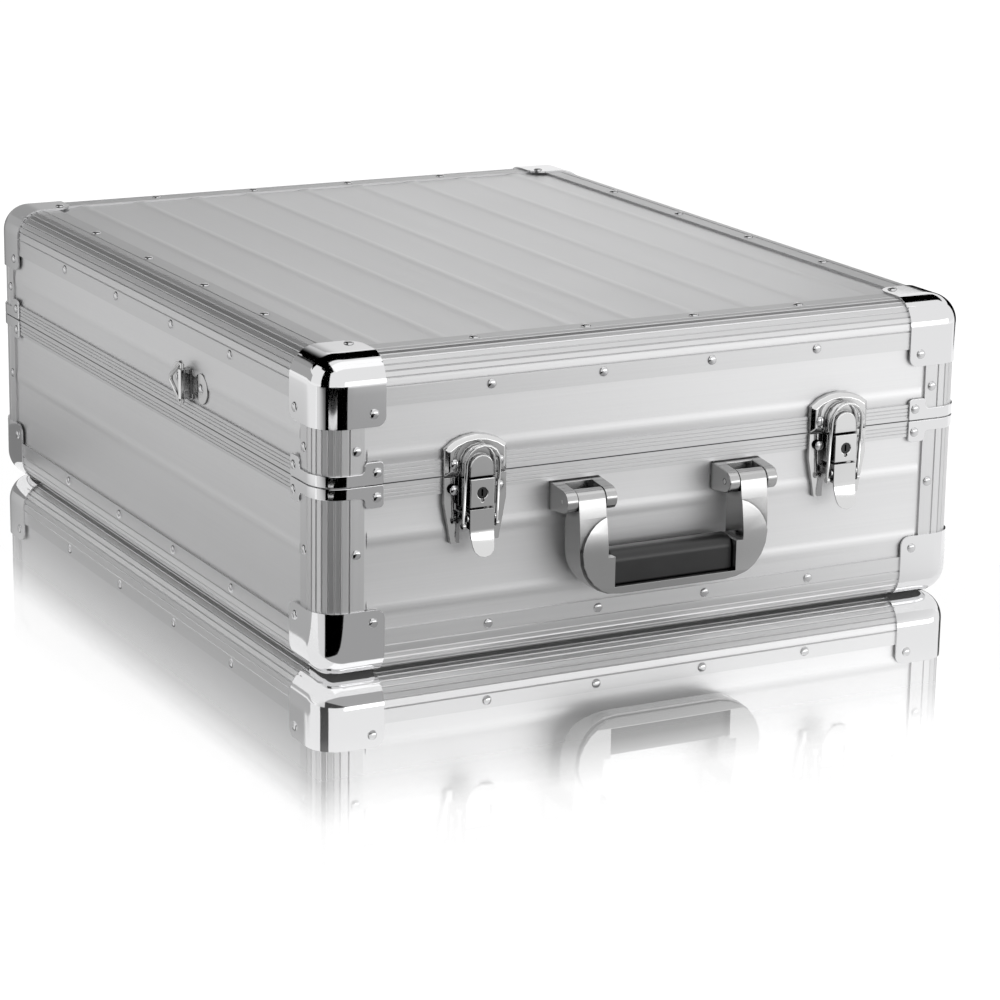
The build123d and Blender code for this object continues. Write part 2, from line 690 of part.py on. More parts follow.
def lever():
    """Latch lever: flat face, side walls on the pin, and a flared finger tongue."""
    face = LATCH_FACE_OUT
    back = face - LEVER_THICK
    plate = across(lever_side(), BOSS_WIDTH) & extrude(lever_front(), amount=2 * LEVER_TIP_OUT)
    wall_height = LEVER_WALL_DROP - LEVER_TOP_DROP
    wall_depth = face - LEVER_WALL_OUT
    walls = Pos((face + LEVER_WALL_OUT) / 2, -LEVER_TOP_DROP - wall_height / 2) * Rectangle(wall_depth, wall_height)
    inside = BOSS_WIDTH - 2 * LEVER_THICK
    channel = across(walls, BOSS_WIDTH)
    hollow = Pos((back + LEVER_WALL_OUT) / 2 - 1, -LEVER_TOP_DROP - wall_height / 2)
    channel -= across(hollow * Rectangle(back - LEVER_WALL_OUT + 2, 2 * wall_height), inside)
    body = plate + channel
    body -= bore(PIVOT_RADIUS + PIVOT_FIT, 2 * BOSS_WIDTH, PIVOT_OUT, -PIVOT_DROP)
    return body - bore(BAIL_STUB + PIVOT_FIT, 2 * BOSS_WIDTH, BAIL_PIVOT_OUT, -BAIL_PIVOT_DROP)


def bail():
    """Round wire loop with its two turned-in ends."""
    rise = BAIL_TOP_RISE + BAIL_PIVOT_DROP
    out = BAIL_TOP_OUT - BAIL_PIVOT_OUT
    length = hypot(rise, out)
    half = BAIL_WIDTH / 2
    spring = length - half
    turns = [180 * index / (ROUND_SIDES / 2) for index in range(ROUND_SIDES // 2 + 1)]
    arc = [(half * cos(radians(turn)), spring + half * sin(radians(turn))) for turn in turns]
    loop = wire_along([(half, 0)] + arc + [(-half, 0)], BAIL_WIRE)
    stub_in = half - (BOSS_WIDTH / 2 - LEVER_THICK)
    for end in (-1, 1):
        loop += Pos(end * half, 0, 0) * Rot(0, 90, 0) * flats(BAIL_EYE, BAIL_EYE_WIDTH)
        middle = end * (half - stub_in / 2)
        loop += Pos(middle, 0, 0) * Rot(0, 90, 0) * flats(BAIL_STUB, stub_in)
    tilt = degrees(asin(out / length))
    return Pos(0, -BAIL_PIVOT_DROP, BAIL_PIVOT_OUT) * Rot(tilt, 0, 0) * loop


def flats(radius, length):
    """Round bar made of flats, along Z and centred."""
    return extrude(RegularPolygon(radius, PIN_SIDES), amount=length / 2, both=True)


def wire_along(points, radius):
    """Wire of flats along straight runs in the XY plane, starting along +Y, closed if they are."""
    path = Polyline(*points)
    start = Plane(origin=(*points[0], 0), x_dir=(1, 0, 0), z_dir=(0, 1, 0))
    section = start * RegularPolygon(radius, WIRE_SIDES)
    return sweep(section, path=path, transition=Transition.RIGHT)


def pivot_pin():
    length = BOSS_WIDTH + 2 * (EAR_GAP + EAR_THICK)
    return rod(PIVOT_RADIUS, length, PIVOT_OUT, -PIVOT_DROP)


def on_front(piece, along=0.0):
    return side_plane("front", Z_SEAM) * Pos(along, 0, 0) * piece


def handle_bracket(end):
    """Handle bracket: a block with a round nose, slotted for the arm's hub."""
    centre = end * ARM_CENTRE
    pivot = (HANDLE_PIVOT_OUT, -HANDLE_PIVOT_DROP)
    nose = BRACKET_NOSE
    outline = [(-FLANGE, -BRACKET_BOTTOM_DROP), (-FLANGE, -BRACKET_TOP_DROP)]
    outline += flats_on(CenterArc(pivot, nose, 90, -180), 2 * ARC_FLATS)
    block = across(polygon(outline), BRACKET_WIDTH, centre)
    slot = ARM_WIDTH + 2 * HUB_GAP
    reach = HANDLE_PIVOT_OUT + nose
    block -= Pos(centre, -HANDLE_PIVOT_DROP, BRACKET_BACK_OUT + reach / 2) * Box(slot, 4 * nose, reach)
    return block - rod(HANDLE_PIN, 2 * BRACKET_WIDTH, HANDLE_PIVOT_OUT, -HANDLE_PIVOT_DROP, centre)


def handle_pin(end):
    return rod(HANDLE_PIN, BRACKET_WIDTH, HANDLE_PIVOT_OUT, -HANDLE_PIVOT_DROP, end * ARM_CENTRE)


def round_foot(half_width, foot, radius):
    """Points of a bottom edge with two round corners, from the right side to the left."""
    corner = flats_on(CenterArc((half_width - radius, foot + radius), radius, 0, -90))
    return corner + [(-x, y) for x, y in corner[::-1]]


def handle_outline():
    """Front view of the handle: two arms, round lower corners, window and grip bay."""
    outer = ARM_CENTRE + ARM_WIDTH / 2
    top = HUB_RADIUS - HANDLE_PIVOT_DROP
    shape = polygon([(-outer, top), (outer, top)] + round_foot(outer, -HANDLE_BOTTOM_DROP, HANDLE_CORNER))
    return shape - window()


def window():
    """Opening between the arms, with the narrower bay for the grip below it."""
    inner = ARM_CENTRE - ARM_WIDTH / 2
    shape = Pos(0, -WINDOW_BOTTOM_DROP / 2) * Rectangle(2 * inner, WINDOW_BOTTOM_DROP)
    depth = GRIP_BOTTOM_DROP - WINDOW_BOTTOM_DROP
    return shape + Pos(0, -WINDOW_BOTTOM_DROP - depth / 2) * Rectangle(2 * (inner - CHEEK_BITE), depth)


def handle_side():
    """Side view of the handle: round hub, arm swelling towards the foot."""
    out, rise = HANDLE_PIVOT_OUT, -HANDLE_PIVOT_DROP
    back, front = HANDLE_BACK_OUT, HANDLE_BULGE_OUT
    foot = -HANDLE_BOTTOM_DROP
    points = flats_on(CenterArc((out, rise), HUB_RADIUS, 0, 180), ARC_FLATS + 2)
    points += [(back, rise - 14), (back, foot + 8), (back + 5, foot)]
    swell = ThreePointArc((front - 4, foot), (front, -CHEEK_WAIST_DROP), (out + HUB_RADIUS, rise))
    return polygon(points + flats_on(swell)[:-1])


def cheek_side():
    """Side view of the raised plate in front of the arms and the rail."""
    hub_front = HANDLE_PIVOT_OUT + HUB_RADIUS
    foot = CHEEK_INSET - HANDLE_BOTTOM_DROP
    middle = ((hub_front + CHEEK_OUT) / 2 + 0.5, -(HANDLE_PIVOT_DROP + CHEEK_WAIST_DROP) / 2)
    swell = ThreePointArc((hub_front, -HANDLE_PIVOT_DROP), middle, (CHEEK_OUT, -CHEEK_WAIST_DROP))
    points = flats_on(swell, ARC_FLATS // 2) + [(CHEEK_OUT, foot + 5), (CHEEK_OUT - 2.5, foot)]
    return polygon(points + [(HANDLE_PIVOT_OUT, foot), (HANDLE_PIVOT_OUT, -HANDLE_PIVOT_DROP)])


def cheek_outline():
    """Front view of that plate: a half-moon on each arm, joined along the rail."""
    outer = ARM_CENTRE + ARM_WIDTH / 2 - CHEEK_INSET
    inner = ARM_CENTRE - ARM_WIDTH / 2
    waist, tip, foot = -CHEEK_WAIST_DROP, -CHEEK_TOP_DROP, CHEEK_INSET - HANDLE_BOTTOM_DROP
    through = (inner + 0.68 * (outer - inner), waist + 0.62 * (tip - waist))
    horn = flats_on(ThreePointArc((inner, tip), through, (outer, waist)))
    half = [(inner, waist)] + horn
    left = [(-x, y) for x, y in half[::-1]]
    shape = polygon(left + half + round_foot(outer, foot, HANDLE_CORNER - CHEEK_INSET))
    return shape - window()


def handle_frame():
    """Cast handle: arms, cheeks and the rail under the grip, bored for the pins."""
    width = 2 * (ARM_CENTRE + ARM_WIDTH)
    view = extrude(handle_outline(), amount=2 * CHEEK_OUT)
    frame = across(handle_side(), width) & view
    frame += across(cheek_side(), width) & extrude(cheek_outline(), amount=2 * CHEEK_OUT)
    frame -= back_chamfer(1) + back_chamfer(-1)
    return frame - bore(HANDLE_PIN + HANDLE_PIN_FIT, width, HANDLE_PIVOT_OUT, -HANDLE_PIVOT_DROP)


def back_chamfer(end):
    """Wedge that slants the outer back edge of an arm below its hub."""
    outer, back = end * (ARM_CENTRE + ARM_WIDTH / 2 + 1), HANDLE_BACK_OUT - 1
    size = HANDLE_BACK_CHAMFER + 2
    corner = polygon([(outer, back), (outer - end * size, back), (outer, back + size)])
    foot = Plane(origin=(0, -HANDLE_BOTTOM_DROP - 1, 0), x_dir=(1, 0, 0), z_dir=(0, -1, 0))
    height = HANDLE_BOTTOM_DROP - HANDLE_PIVOT_DROP - HUB_RADIUS
    return extrude(foot * Rot(180, 0, 0) * corner, amount=height)


def handle_grip():
    """Soft grip between the cheeks, on the rail."""
    height = GRIP_BOTTOM_DROP - GRIP_TOP_DROP
    depth = GRIP_FRONT_OUT - GRIP_BACK_OUT
    section = Pos((GRIP_FRONT_OUT + GRIP_BACK_OUT) / 2, -GRIP_TOP_DROP - height / 2) * Rectangle(depth, height)
    section = fillet(section.vertices().sort_by(Axis.Y)[-2:], GRIP_ROUND)
    length = 2 * (ARM_CENTRE - ARM_WIDTH / 2 - CHEEK_BITE)
    return across(section, length)


def strap_plate():
    """Plate with two lobes and a tube that holds the ring's straight side."""
    plate = Pos(-LOBE_SPREAD / 2, 0) * RegularPolygon(LOBE_RADIUS, ROUND_SIDES)
    plate += Pos(LOBE_SPREAD / 2, 0) * RegularPolygon(LOBE_RADIUS, ROUND_SIDES)
    plate += Rectangle(LOBE_SPREAD, 2 * LOBE_RADIUS * 0.62)
    plate += Rectangle(LOBE_RADIUS, TUBE_LENGTH)
    body = Pos(0, 0, -FLANGE) * extrude(plate, amount=LOBE_THICK)
    hole = RING_WIRE + TUBE_FIT
    outer = hole + TUBE_WALL
    tube = RegularPolygon(outer, ROUND_SIDES // 2, major_radius=False)
    height = RING_AXIS_OUT + FLANGE - LOBE_THICK / 2
    tube += Pos(0, -height / 2) * Rectangle(2 * outer, height)
    tube -= RegularPolygon(hole, PIN_SIDES, major_radius=False)
    start = Plane(origin=(0, TUBE_LENGTH / 2, RING_AXIS_OUT), x_dir=(1, 0, 0), z_dir=(0, -1, 0))
    return body + extrude(start * tube, amount=TUBE_LENGTH)


def strap_ring(backward):
    """Triangular ring that lies flat, pointing to the rear."""
    tip = backward * RING_REACH
    slant = atan2(RING_REACH, RING_HALF)
    cut = RING_BEND
    side = (backward * cut * sin(slant), cut * cos(slant))
    points = [
        (0, 0), (0, RING_HALF - cut), (side[0], RING_HALF - side[1]), (tip - side[0], side[1]),
        (tip - side[0], -side[1]), (side[0], side[1] - RING_HALF), (0, cut - RING_HALF), (0, 0),
    ]
    return Pos(0, 0, RING_AXIS_OUT) * wire_along(points, RING_WIRE)


def on_lid_side(piece, side, forward):
    return side_plane(side, Z_SEAM) * Pos(forward * RING_FORWARD, RING_RISE, 0) * piece


def leaf_section():
    """Leaf that steps from the closing profile's face in to the panel, seam at zero."""
    step = CLOSING_RISE + PANEL_FIT
    outer = HINGE_LEAF_THICK
    low = outer - FLANGE
    return make_face(Polyline(
        (outer, SEAM_GAP), (0, SEAM_GAP), (0, step), (-FLANGE, step), (-FLANGE, HINGE_LEAF_RISE),
        (low, HINGE_LEAF_RISE), (low, step + outer + FLANGE), (outer, step + outer), (outer, SEAM_GAP),
    ))


def knuckle_section():
    """Knuckle with the web that joins it to its leaf."""
    foot = 2 * KNUCKLE_RADIUS
    web = make_face(Polyline(
        (HINGE_LEAF_THICK / 2, SEAM_GAP), (HINGE_LEAF_THICK / 2, foot), (HINGE_LEAF_THICK, foot),
        (HINGE_AXIS_OUT, KNUCKLE_RADIUS - SEAM_GAP), (HINGE_AXIS_OUT, SEAM_GAP), (HINGE_LEAF_THICK / 2, SEAM_GAP),
    ))
    return web + Pos(HINGE_AXIS_OUT, 0) * RegularPolygon(KNUCKLE_RADIUS, ROUND_SIDES)


def hinge_leaf(in_lid):
    """Leaf with its knuckles: one in the middle on the lid, two outer ones on the base."""
    outer_width = (HINGE_WIDTH - KNUCKLE_SHARE) / 2
    outer_at = (HINGE_WIDTH + KNUCKLE_SHARE) / 4
    middle = [(0, KNUCKLE_SHARE)]
    ends = [(-outer_at, outer_width), (outer_at, outer_width)]
    own, other = (middle, ends) if in_lid else (ends, middle)
    turned = (lambda section: section) if in_lid else upside_down
    leaf = across(turned(leaf_section()), HINGE_WIDTH)
    for centre, width in other:
        leaf -= bore(KNUCKLE_RADIUS + KNUCKLE_GAP, width + KNUCKLE_GAP, HINGE_AXIS_OUT, 0, centre)
    for centre, width in own:
        leaf += across(turned(knuckle_section()), width - KNUCKLE_GAP, centre)
    if in_lid:
        return leaf - bore(HINGE_PIN + HINGE_PIN_FIT, 2 * HINGE_WIDTH, HINGE_AXIS_OUT, 0)
    return leaf - rod(HINGE_PIN, 2 * HINGE_WIDTH, HINGE_AXIS_OUT, 0)


def hinge_pin():
    return rod(HINGE_PIN, HINGE_WIDTH - KNUCKLE_GAP, HINGE_AXIS_OUT, 0)


def on_rear(piece, along=0.0):
    return side_plane("rear", Z_SEAM) * Pos(along, 0, 0) * piece


def foam_slab(in_lid):
    """Foam on the floor or under the top, inside the lips."""
    width, depth = WIDTH - 2 * INNER, DEPTH - 2 * INNER
    if in_lid:
        return Pos(0, Y_MIDDLE, Z_TOP - INNER - FOAM_TOP / 2) * Box(width, depth, FOAM_TOP)
    return Pos(0, Y_MIDDLE, Z_BOTTOM + INNER + FOAM_FLOOR / 2) * Box(width, depth, FOAM_FLOOR)


def foam_walls(in_lid):
    """Four foam strips inside the walls, from the slab nearly to the seam."""
    low = Z_SEAM + FOAM_SEAM_GAP if in_lid else Z_BOTTOM + INNER + FOAM_FLOOR
    high = Z_TOP - INNER - FOAM_TOP if in_lid else Z_SEAM - FOAM_SEAM_GAP
    middle, height = (low + high) / 2, high - low
    width, depth = WIDTH - 2 * INNER, DEPTH - 2 * (INNER + FOAM_WALL)
    strips = []
    for end in (-1, 1):
        y = Y_MIDDLE + end * (DEPTH / 2 - INNER - FOAM_WALL / 2)
        x = end * (WIDTH / 2 - INNER - FOAM_WALL / 2)
        strips.append(Pos(0, y, middle) * Box(width, FOAM_WALL, height))
        strips.append(Pos(x, Y_MIDDLE, middle) * Box(FOAM_WALL, depth, height))
    return group(strips)


def half_nodes(in_lid):
    """Panels, profiles, caps, straps, rivets and foam of the base or the lid."""
    name = "lid" if in_lid else "base"
    level, slab = ("top", "top") if in_lid else ("bottom", "floor")
    nodes = {f"{name}_{level}_panel": flat_panel(in_lid)}
    for side in SIDES:
        nodes[f"{name}_{side}_panel"] = side_panel(side, in_lid)
        nodes[f"{name}_{side}_edge_profile"] = edge_bar(side, in_lid)
    nodes[f"{name}_corner_profiles"] = corner_posts(in_lid)
    nodes[f"{name}_closing_frame"] = closing_frame(in_lid)
    nodes[f"{name}_corner_caps"] = corner_caps(in_lid)
    nodes[f"{name}_seam_straps"] = seam_straps(in_lid)
    nodes[f"{name}_rivets"] = rivets(in_lid)
    nodes[f"{name}_{slab}_foam"] = foam_slab(in_lid)
    nodes[f"{name}_wall_foam"] = foam_walls(in_lid)
    return nodes


def latch_nodes():
    lid_front, base_front = side_panel("front", True), side_panel("front", False)
    nodes = {}
    for name, end in (("left", -1), ("right", 1)):
        along = LATCH_SHIFT + end * LATCH_SPACING / 2
        nodes[f"{name}_hook_plate"] = on_front(hook_plate(), along) - lid_front
        nodes[f"{name}_latch_plate"] = on_front(foot_plate(), along) - base_front
        nodes[f"{name}_lock_case"] = on_front(lock_case(), along)
        nodes[f"{name}_key_barrel"] = on_front(key_barrel(), along)
        nodes[f"{name}_latch_lever"] = on_front(lever(), along)
        nodes[f"{name}_latch_bail"] = on_front(bail(), along)
    spots = (LATCH_SHIFT - LATCH_SPACING / 2, LATCH_SHIFT + LATCH_SPACING / 2)
    nodes["lever_pins"] = group([on_front(pivot_pin(), along) for along in spots])
    return nodes


def handle_nodes():
    base_front = side_panel("front", False)
    return {
        "left_handle_bracket": on_front(handle_bracket(-1), HANDLE_SHIFT) - base_front,
        "right_handle_bracket": on_front(handle_bracket(1), HANDLE_SHIFT) - base_front,
        "handle_pins": group([on_front(handle_pin(end), HANDLE_SHIFT) for end in (-1, 1)]),
        "handle_frame": on_front(handle_frame(), HANDLE_SHIFT),
        "handle_grip": on_front(handle_grip(), HANDLE_SHIFT),
    }


def ring_nodes():
    nodes = {}
    for side, forward in (("left", 1), ("right", -1)):
        plate = on_lid_side(strap_plate(), side, forward)
        nodes[f"{side}_strap_plate"] = plate - side_panel(side, True)
        nodes[f"{side}_strap_ring"] = on_lid_side(strap_ring(-forward), side, forward)
    return nodes


def hinge_nodes():
    nodes = {}
    spots = {"left": HINGE_SPACING / 2, "right": -HINGE_SPACING / 2}
    for name, along in spots.items():
        nodes[f"{name}_base_leaf"] = on_rear(hinge_leaf(False), along) - side_panel("rear", False)
        nodes[f"{name}_lid_leaf"] = on_rear(hinge_leaf(True), along) - side_panel("rear", True)
    nodes["hinge_pins"] = group([on_rear(hinge_pin(), along) for along in spots.values()])
    return nodes


def main():
    os.makedirs("parts", exist_ok=True)
    nodes = {**half_nodes(False), **half_nodes(True), **latch_nodes(), **handle_nodes(), **ring_nodes(), **hinge_nodes()}
    for name, piece in nodes.items():
        export_step(group([piece]), f"parts/{name}.step")


main()
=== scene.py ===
import json
import math

import bmesh
import bpy
from mathutils import Matrix, Vector

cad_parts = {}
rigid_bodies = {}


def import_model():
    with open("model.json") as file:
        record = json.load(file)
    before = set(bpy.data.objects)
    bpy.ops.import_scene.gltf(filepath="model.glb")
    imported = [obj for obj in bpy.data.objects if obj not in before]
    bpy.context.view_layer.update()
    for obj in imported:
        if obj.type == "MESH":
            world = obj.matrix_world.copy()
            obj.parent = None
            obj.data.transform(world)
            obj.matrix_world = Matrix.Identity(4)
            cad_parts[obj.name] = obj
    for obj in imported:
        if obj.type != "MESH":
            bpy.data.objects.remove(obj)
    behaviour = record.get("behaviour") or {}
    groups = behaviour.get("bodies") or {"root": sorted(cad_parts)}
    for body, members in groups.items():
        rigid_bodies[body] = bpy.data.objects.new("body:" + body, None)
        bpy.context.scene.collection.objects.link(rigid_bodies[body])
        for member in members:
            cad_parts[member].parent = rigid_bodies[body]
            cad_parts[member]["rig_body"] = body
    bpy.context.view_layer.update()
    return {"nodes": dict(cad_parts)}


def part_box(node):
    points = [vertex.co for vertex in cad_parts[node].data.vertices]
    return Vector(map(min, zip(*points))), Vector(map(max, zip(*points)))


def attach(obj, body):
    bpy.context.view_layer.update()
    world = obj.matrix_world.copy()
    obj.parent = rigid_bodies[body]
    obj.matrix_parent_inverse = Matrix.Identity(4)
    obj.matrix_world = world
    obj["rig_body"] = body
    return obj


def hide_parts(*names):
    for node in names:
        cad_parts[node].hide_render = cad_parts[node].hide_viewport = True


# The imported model, and its box before anything is replaced
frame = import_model()
NODES = frame["nodes"]

# Places read from the frame, in metres
MM = 0.001
POSTS_LOW, POSTS_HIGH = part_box("base_corner_profiles")
LEFT, RIGHT = POSTS_LOW.x, POSTS_HIGH.x
FRONT, REAR = POSTS_LOW.y, POSTS_HIGH.y
MIDDLE = (FRONT + REAR) / 2
CAP_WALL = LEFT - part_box("base_corner_caps")[0].x
BOTTOM = CAP_WALL
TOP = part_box("lid_corner_caps")[1].z - CAP_WALL
SEAM = (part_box("lid_seam_straps")[0].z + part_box("base_seam_straps")[1].z) / 2

# Camera solved from the photograph's edges, on a square frame
SENSOR = 36.0
FOCAL = 124.2
CAMERA_AT = Vector((-1029.5, -1997.7, 640.9)) * MM
CAMERA_AZIMUTH = -27.98
CAMERA_ELEVATION = 15.376
CAMERA_ROLL = 0.933
FARTHEST_SEEN = 50

# Points nearer than this are one point, in metres
SAME_POINT = 1e-6


def new_object(name, mesh):
    """Links a mesh as an object at the origin."""
    piece = bpy.data.objects.new(name, mesh)
    bpy.context.scene.collection.objects.link(piece)
    return piece


def mesh_from(name, points, faces):
    mesh = bpy.data.meshes.new(name)
    mesh.from_pydata([tuple(point) for point in points], [], faces)
    mesh.update()
    return mesh


def mesh_of(name, shape):
    """Writes an edited shape to a new mesh and frees the shape."""
    mesh = bpy.data.meshes.new(name)
    shape.to_mesh(mesh)
    shape.free()
    return mesh


def bm_of(mesh):
    """An editable copy of a mesh with its split points joined."""
    shape = bmesh.new()
    shape.from_mesh(mesh)
    bmesh.ops.remove_doubles(shape, verts=shape.verts, dist=SAME_POINT)
    return shape


def smooth(mesh, angle):
    """Smooth shading that breaks at edges sharper than the angle."""
    for polygon in mesh.polygons:
        polygon.use_smooth = True
    mesh.set_sharp_from_angle(angle=math.radians(angle))


# Shader arithmetic


class Wire:
    """A shader socket that takes part in Python sums."""

    def __init__(self, finish, socket):
        self.finish = finish
        self.socket = socket

    def __add__(self, other):
        return self.finish.math("ADD", self, other)

    def __mul__(self, other):
        return self.finish.math("MULTIPLY", self, other)

    def __sub__(self, other):
        return self.finish.math("SUBTRACT", self, other)

    def __rsub__(self, other):
        return self.finish.math("SUBTRACT", other, self)


class Finish:
    """A material built from nodes round one surface shader."""

    def __init__(self, name, **surface):
        self.material = bpy.data.materials.new(name)
        self.material.use_nodes = True
        self.tree = self.material.node_tree
        self.shader = self.tree.nodes["Principled BSDF"]
        for socket, value in surface.items():
            self.set(socket.replace("_", " "), value)

    @classmethod
    def of(cls, material):
        """The same tools for a material that exists already."""
        finish = cls.__new__(cls)
        finish.material, finish.tree = material, material.node_tree
        finish.shader = finish.tree.nodes["Principled BSDF"]
        return finish

    def set(self, socket, value):
        self._feed(self.shader.inputs[socket], value)

    def _feed(self, socket, value):
        if isinstance(value, Wire):
            self.tree.links.new(value.socket, socket)
        else:
            socket.default_value = value

    def node(self, kind, settings=None, inputs=None, output=0):
        """Adds a node: settings first, then its sockets' values or links."""
        made = self.tree.nodes.new(kind)
        for name, value in (settings or {}).items():
            setattr(made, name, value)
        for name, value in (inputs or {}).items():
            self._feed(made.inputs[name], value)
        return Wire(self, made.outputs[output])

    def math(self, operation, first, second=0.0):
        return self.node("ShaderNodeMath", {"operation": operation}, {0: first, 1: second})

    def spread(self, value, low, high, first=0.0, last=1.0, kind="LINEAR"):
        """Maps the stretch from low to high to the one from first to last, held at both ends."""
        inputs = {"Value": value, "From Min": low, "From Max": high, "To Min": first, "To Max": last}
        return self.node("ShaderNodeMapRange", {"interpolation_type": kind}, inputs)

    def around(self, middle, *swings):
        """A value that patterns from 0 to 1 swing round its middle, each by its own width."""
        value = middle - sum(width for _, width in swings) / 2
        for pattern, width in swings:
            value = pattern * width + value
        return value

    def grey(self, tone, blue=1.0):
        """Grey colour of a tone, with its blue a touch up if asked."""
        inputs = {"Red": tone, "Green": tone, "Blue": tone * blue}
        return self.node("ShaderNodeCombineColor", inputs=inputs)

    def along(self, axis, coordinates="Object"):
        """The object's own coordinate along an axis, or its normal's share of it."""
        where = self.node("ShaderNodeTexCoord", output=coordinates)
        return self.node("ShaderNodeSeparateXYZ", inputs={0: where}, output=axis)

    def place(self, scale):
        """Object coordinates, stretched evenly or by one number for each axis."""
        where = self.node("ShaderNodeTexCoord", output="Object")
        each = scale if isinstance(scale, tuple) else (scale, scale, scale)
        return self.node("ShaderNodeMapping", inputs={"Vector": where, "Scale": each})

    def noise(self, scale, detail, rough=0.5):
        inputs = {"Vector": self.place(scale), "Scale": 1.0, "Detail": detail, "Roughness": rough}
        return self.node("ShaderNodeTexNoise", inputs=inputs)

    def bump(self, height, distance, strength=1.0):
        inputs = {"Height": height, "Distance": distance, "Strength": strength}
        self.set("Normal", self.node("ShaderNodeBump", inputs=inputs))

    def cover(self, share, cover):
        """Lays another shader over the surface by a share."""
        plain = Wire(self, self.shader.outputs[0])
        mixed = self.node("ShaderNodeMixShader", inputs={0: share, 1: plain, 2: cover})
        self.tree.links.new(mixed.socket, self.tree.nodes["Material Output"].inputs["Surface"])


# Materials

# Stretch of the noise along the drawn lines and across them
GRAIN_ALONG, GRAIN_ACROSS = 6.0, 900.0
GRAINS = {
    "x": (GRAIN_ALONG, GRAIN_ACROSS, GRAIN_ACROSS),
    "y": (GRAIN_ACROSS, GRAIN_ALONG, GRAIN_ACROSS),
    "z": (GRAIN_ACROSS, GRAIN_ACROSS, GRAIN_ALONG),
    "level": (GRAIN_ALONG, GRAIN_ALONG, GRAIN_ACROSS),
}
# Depths of the surface relief, in metres
DRAWN_LINE = 0.00002
PRESSED_WAVE = 0.00008
GRIP_GRAIN = 0.00003
FOAM_CELL = 0.0004
# Half width and outer edge of the painted shadow line at the seam, in metres
LINE_CORE, LINE_EDGE = 0.0002, 0.0005
# Share of the normal along Z from which a face counts as level
LEVEL_FROM, LEVEL_FULL = 0.6, 0.8
# Colour of the painted shadow line at the seam
SEAM_SHADOW_COLOUR = (0.05, 0.05, 0.05, 1)
GRIP_SHADE, GRIP_ROUGHNESS = 0.013, 0.33
FOAM_SHADE, FOAM_ROUGHNESS = 0.043, 0.9
FOAM_CELLS_PER_METRE = 900.0
# How far the painted shade reaches out of a corner, in metres
PAINTED_SHADE_REACH = 0.004


def brushed(name, shade, roughness, grain):
    """Satin aluminium with fine drawn lines along the grain and faint handling marks."""
    finish = Finish(name, Metallic=1.0)
    lines = finish.noise(GRAINS[grain], detail=2.0)
    cloud = finish.noise(scale=9.0, detail=4.0)
    tone = finish.around(shade, (lines, 0.05), (cloud, 0.03))
    finish.set("Base Color", finish.grey(tone, blue=1.006))
    finish.set("Roughness", finish.around(roughness, (lines, 0.12), (cloud, 0.06)))
    finish.bump(lines, DRAWN_LINE)
    return finish.material


def with_painted_seam_shadow(material):
    """Paints the seam's shadow, with a little of its dirt, as a dark line on upright faces in the last
    fraction of a millimetre before the seam.
    """
    finish = Finish.of(material)
    gap = finish.math("ABSOLUTE", finish.along("Z") - SEAM)
    off_line = finish.spread(gap, LINE_CORE, LINE_EDGE)
    up_or_down = finish.math("ABSOLUTE", finish.along("Z", "Normal"))
    plain = finish.math("MAXIMUM", off_line, finish.spread(up_or_down, LEVEL_FROM, LEVEL_FULL))
    colour = Wire(finish, finish.shader.inputs["Base Color"].links[0].from_socket)
    # Sockets 6 and 7 are the two colours, and output 2 is the mixed one
    inputs = {0: plain, 6: SEAM_SHADOW_COLOUR, 7: colour}
    finish.set("Base Color", finish.node("ShaderNodeMix", {"data_type": "RGBA"}, inputs, output=2))
    return material


def plated(name, shade, roughness, painted_shade_reach=0.0):
    """Bright plating with the faint waviness of pressed steel, with painted shade darkening its corners."""
    finish = Finish(name, Metallic=1.0)
    finish.set("Base Color", (shade, shade, shade * 1.01, 1.0))
    if painted_shade_reach:
        # Ambient occlusion darkens the colour in corners and where parts meet: painted shade
        inputs = {"Distance": painted_shade_reach}
        open_air = finish.node("ShaderNodeAmbientOcclusion", {"samples": 6}, inputs, output="AO")
        finish.set("Base Color", finish.grey(open_air * open_air * shade))
    wipe = finish.noise(scale=60.0, detail=5.0, rough=0.6)
    finish.set("Roughness", finish.around(roughness, (wipe, 0.08)))
    finish.bump(finish.noise(scale=35.0, detail=1.0), PRESSED_WAVE)
    return finish.material


def rubber():
    """Matt black grip with a fine moulded grain."""
    finish = Finish("soft_grip", Specular_IOR_Level=0.6)
    cloud = finish.noise(scale=40.0, detail=4.0)
    tone = finish.around(GRIP_SHADE, (cloud, 0.01))
    finish.set("Base Color", finish.grey(tone, blue=1.03))
    finish.set("Roughness", finish.around(GRIP_ROUGHNESS, (cloud, 0.1)))
    finish.bump(finish.noise(scale=1800.0, detail=2.0), GRIP_GRAIN)
    return finish.material


def foam():
    """Charcoal open-cell foam."""
    finish = Finish("lining_foam")
    inputs = {"Vector": finish.place(scale=1.0), "Scale": FOAM_CELLS_PER_METRE}
    cells = finish.node("ShaderNodeTexVoronoi", inputs=inputs)
    cloud = finish.noise(scale=30.0, detail=4.0)
    tone = finish.around(FOAM_SHADE, (cells, 0.03), (cloud, 0.02))
    finish.set("Base Color", finish.grey(tone, blue=1.05))
    finish.set("Roughness", finish.around(FOAM_ROUGHNESS, (cells, 0.1)))
    finish.bump(cells, FOAM_CELL, strength=0.8)
    return finish.material


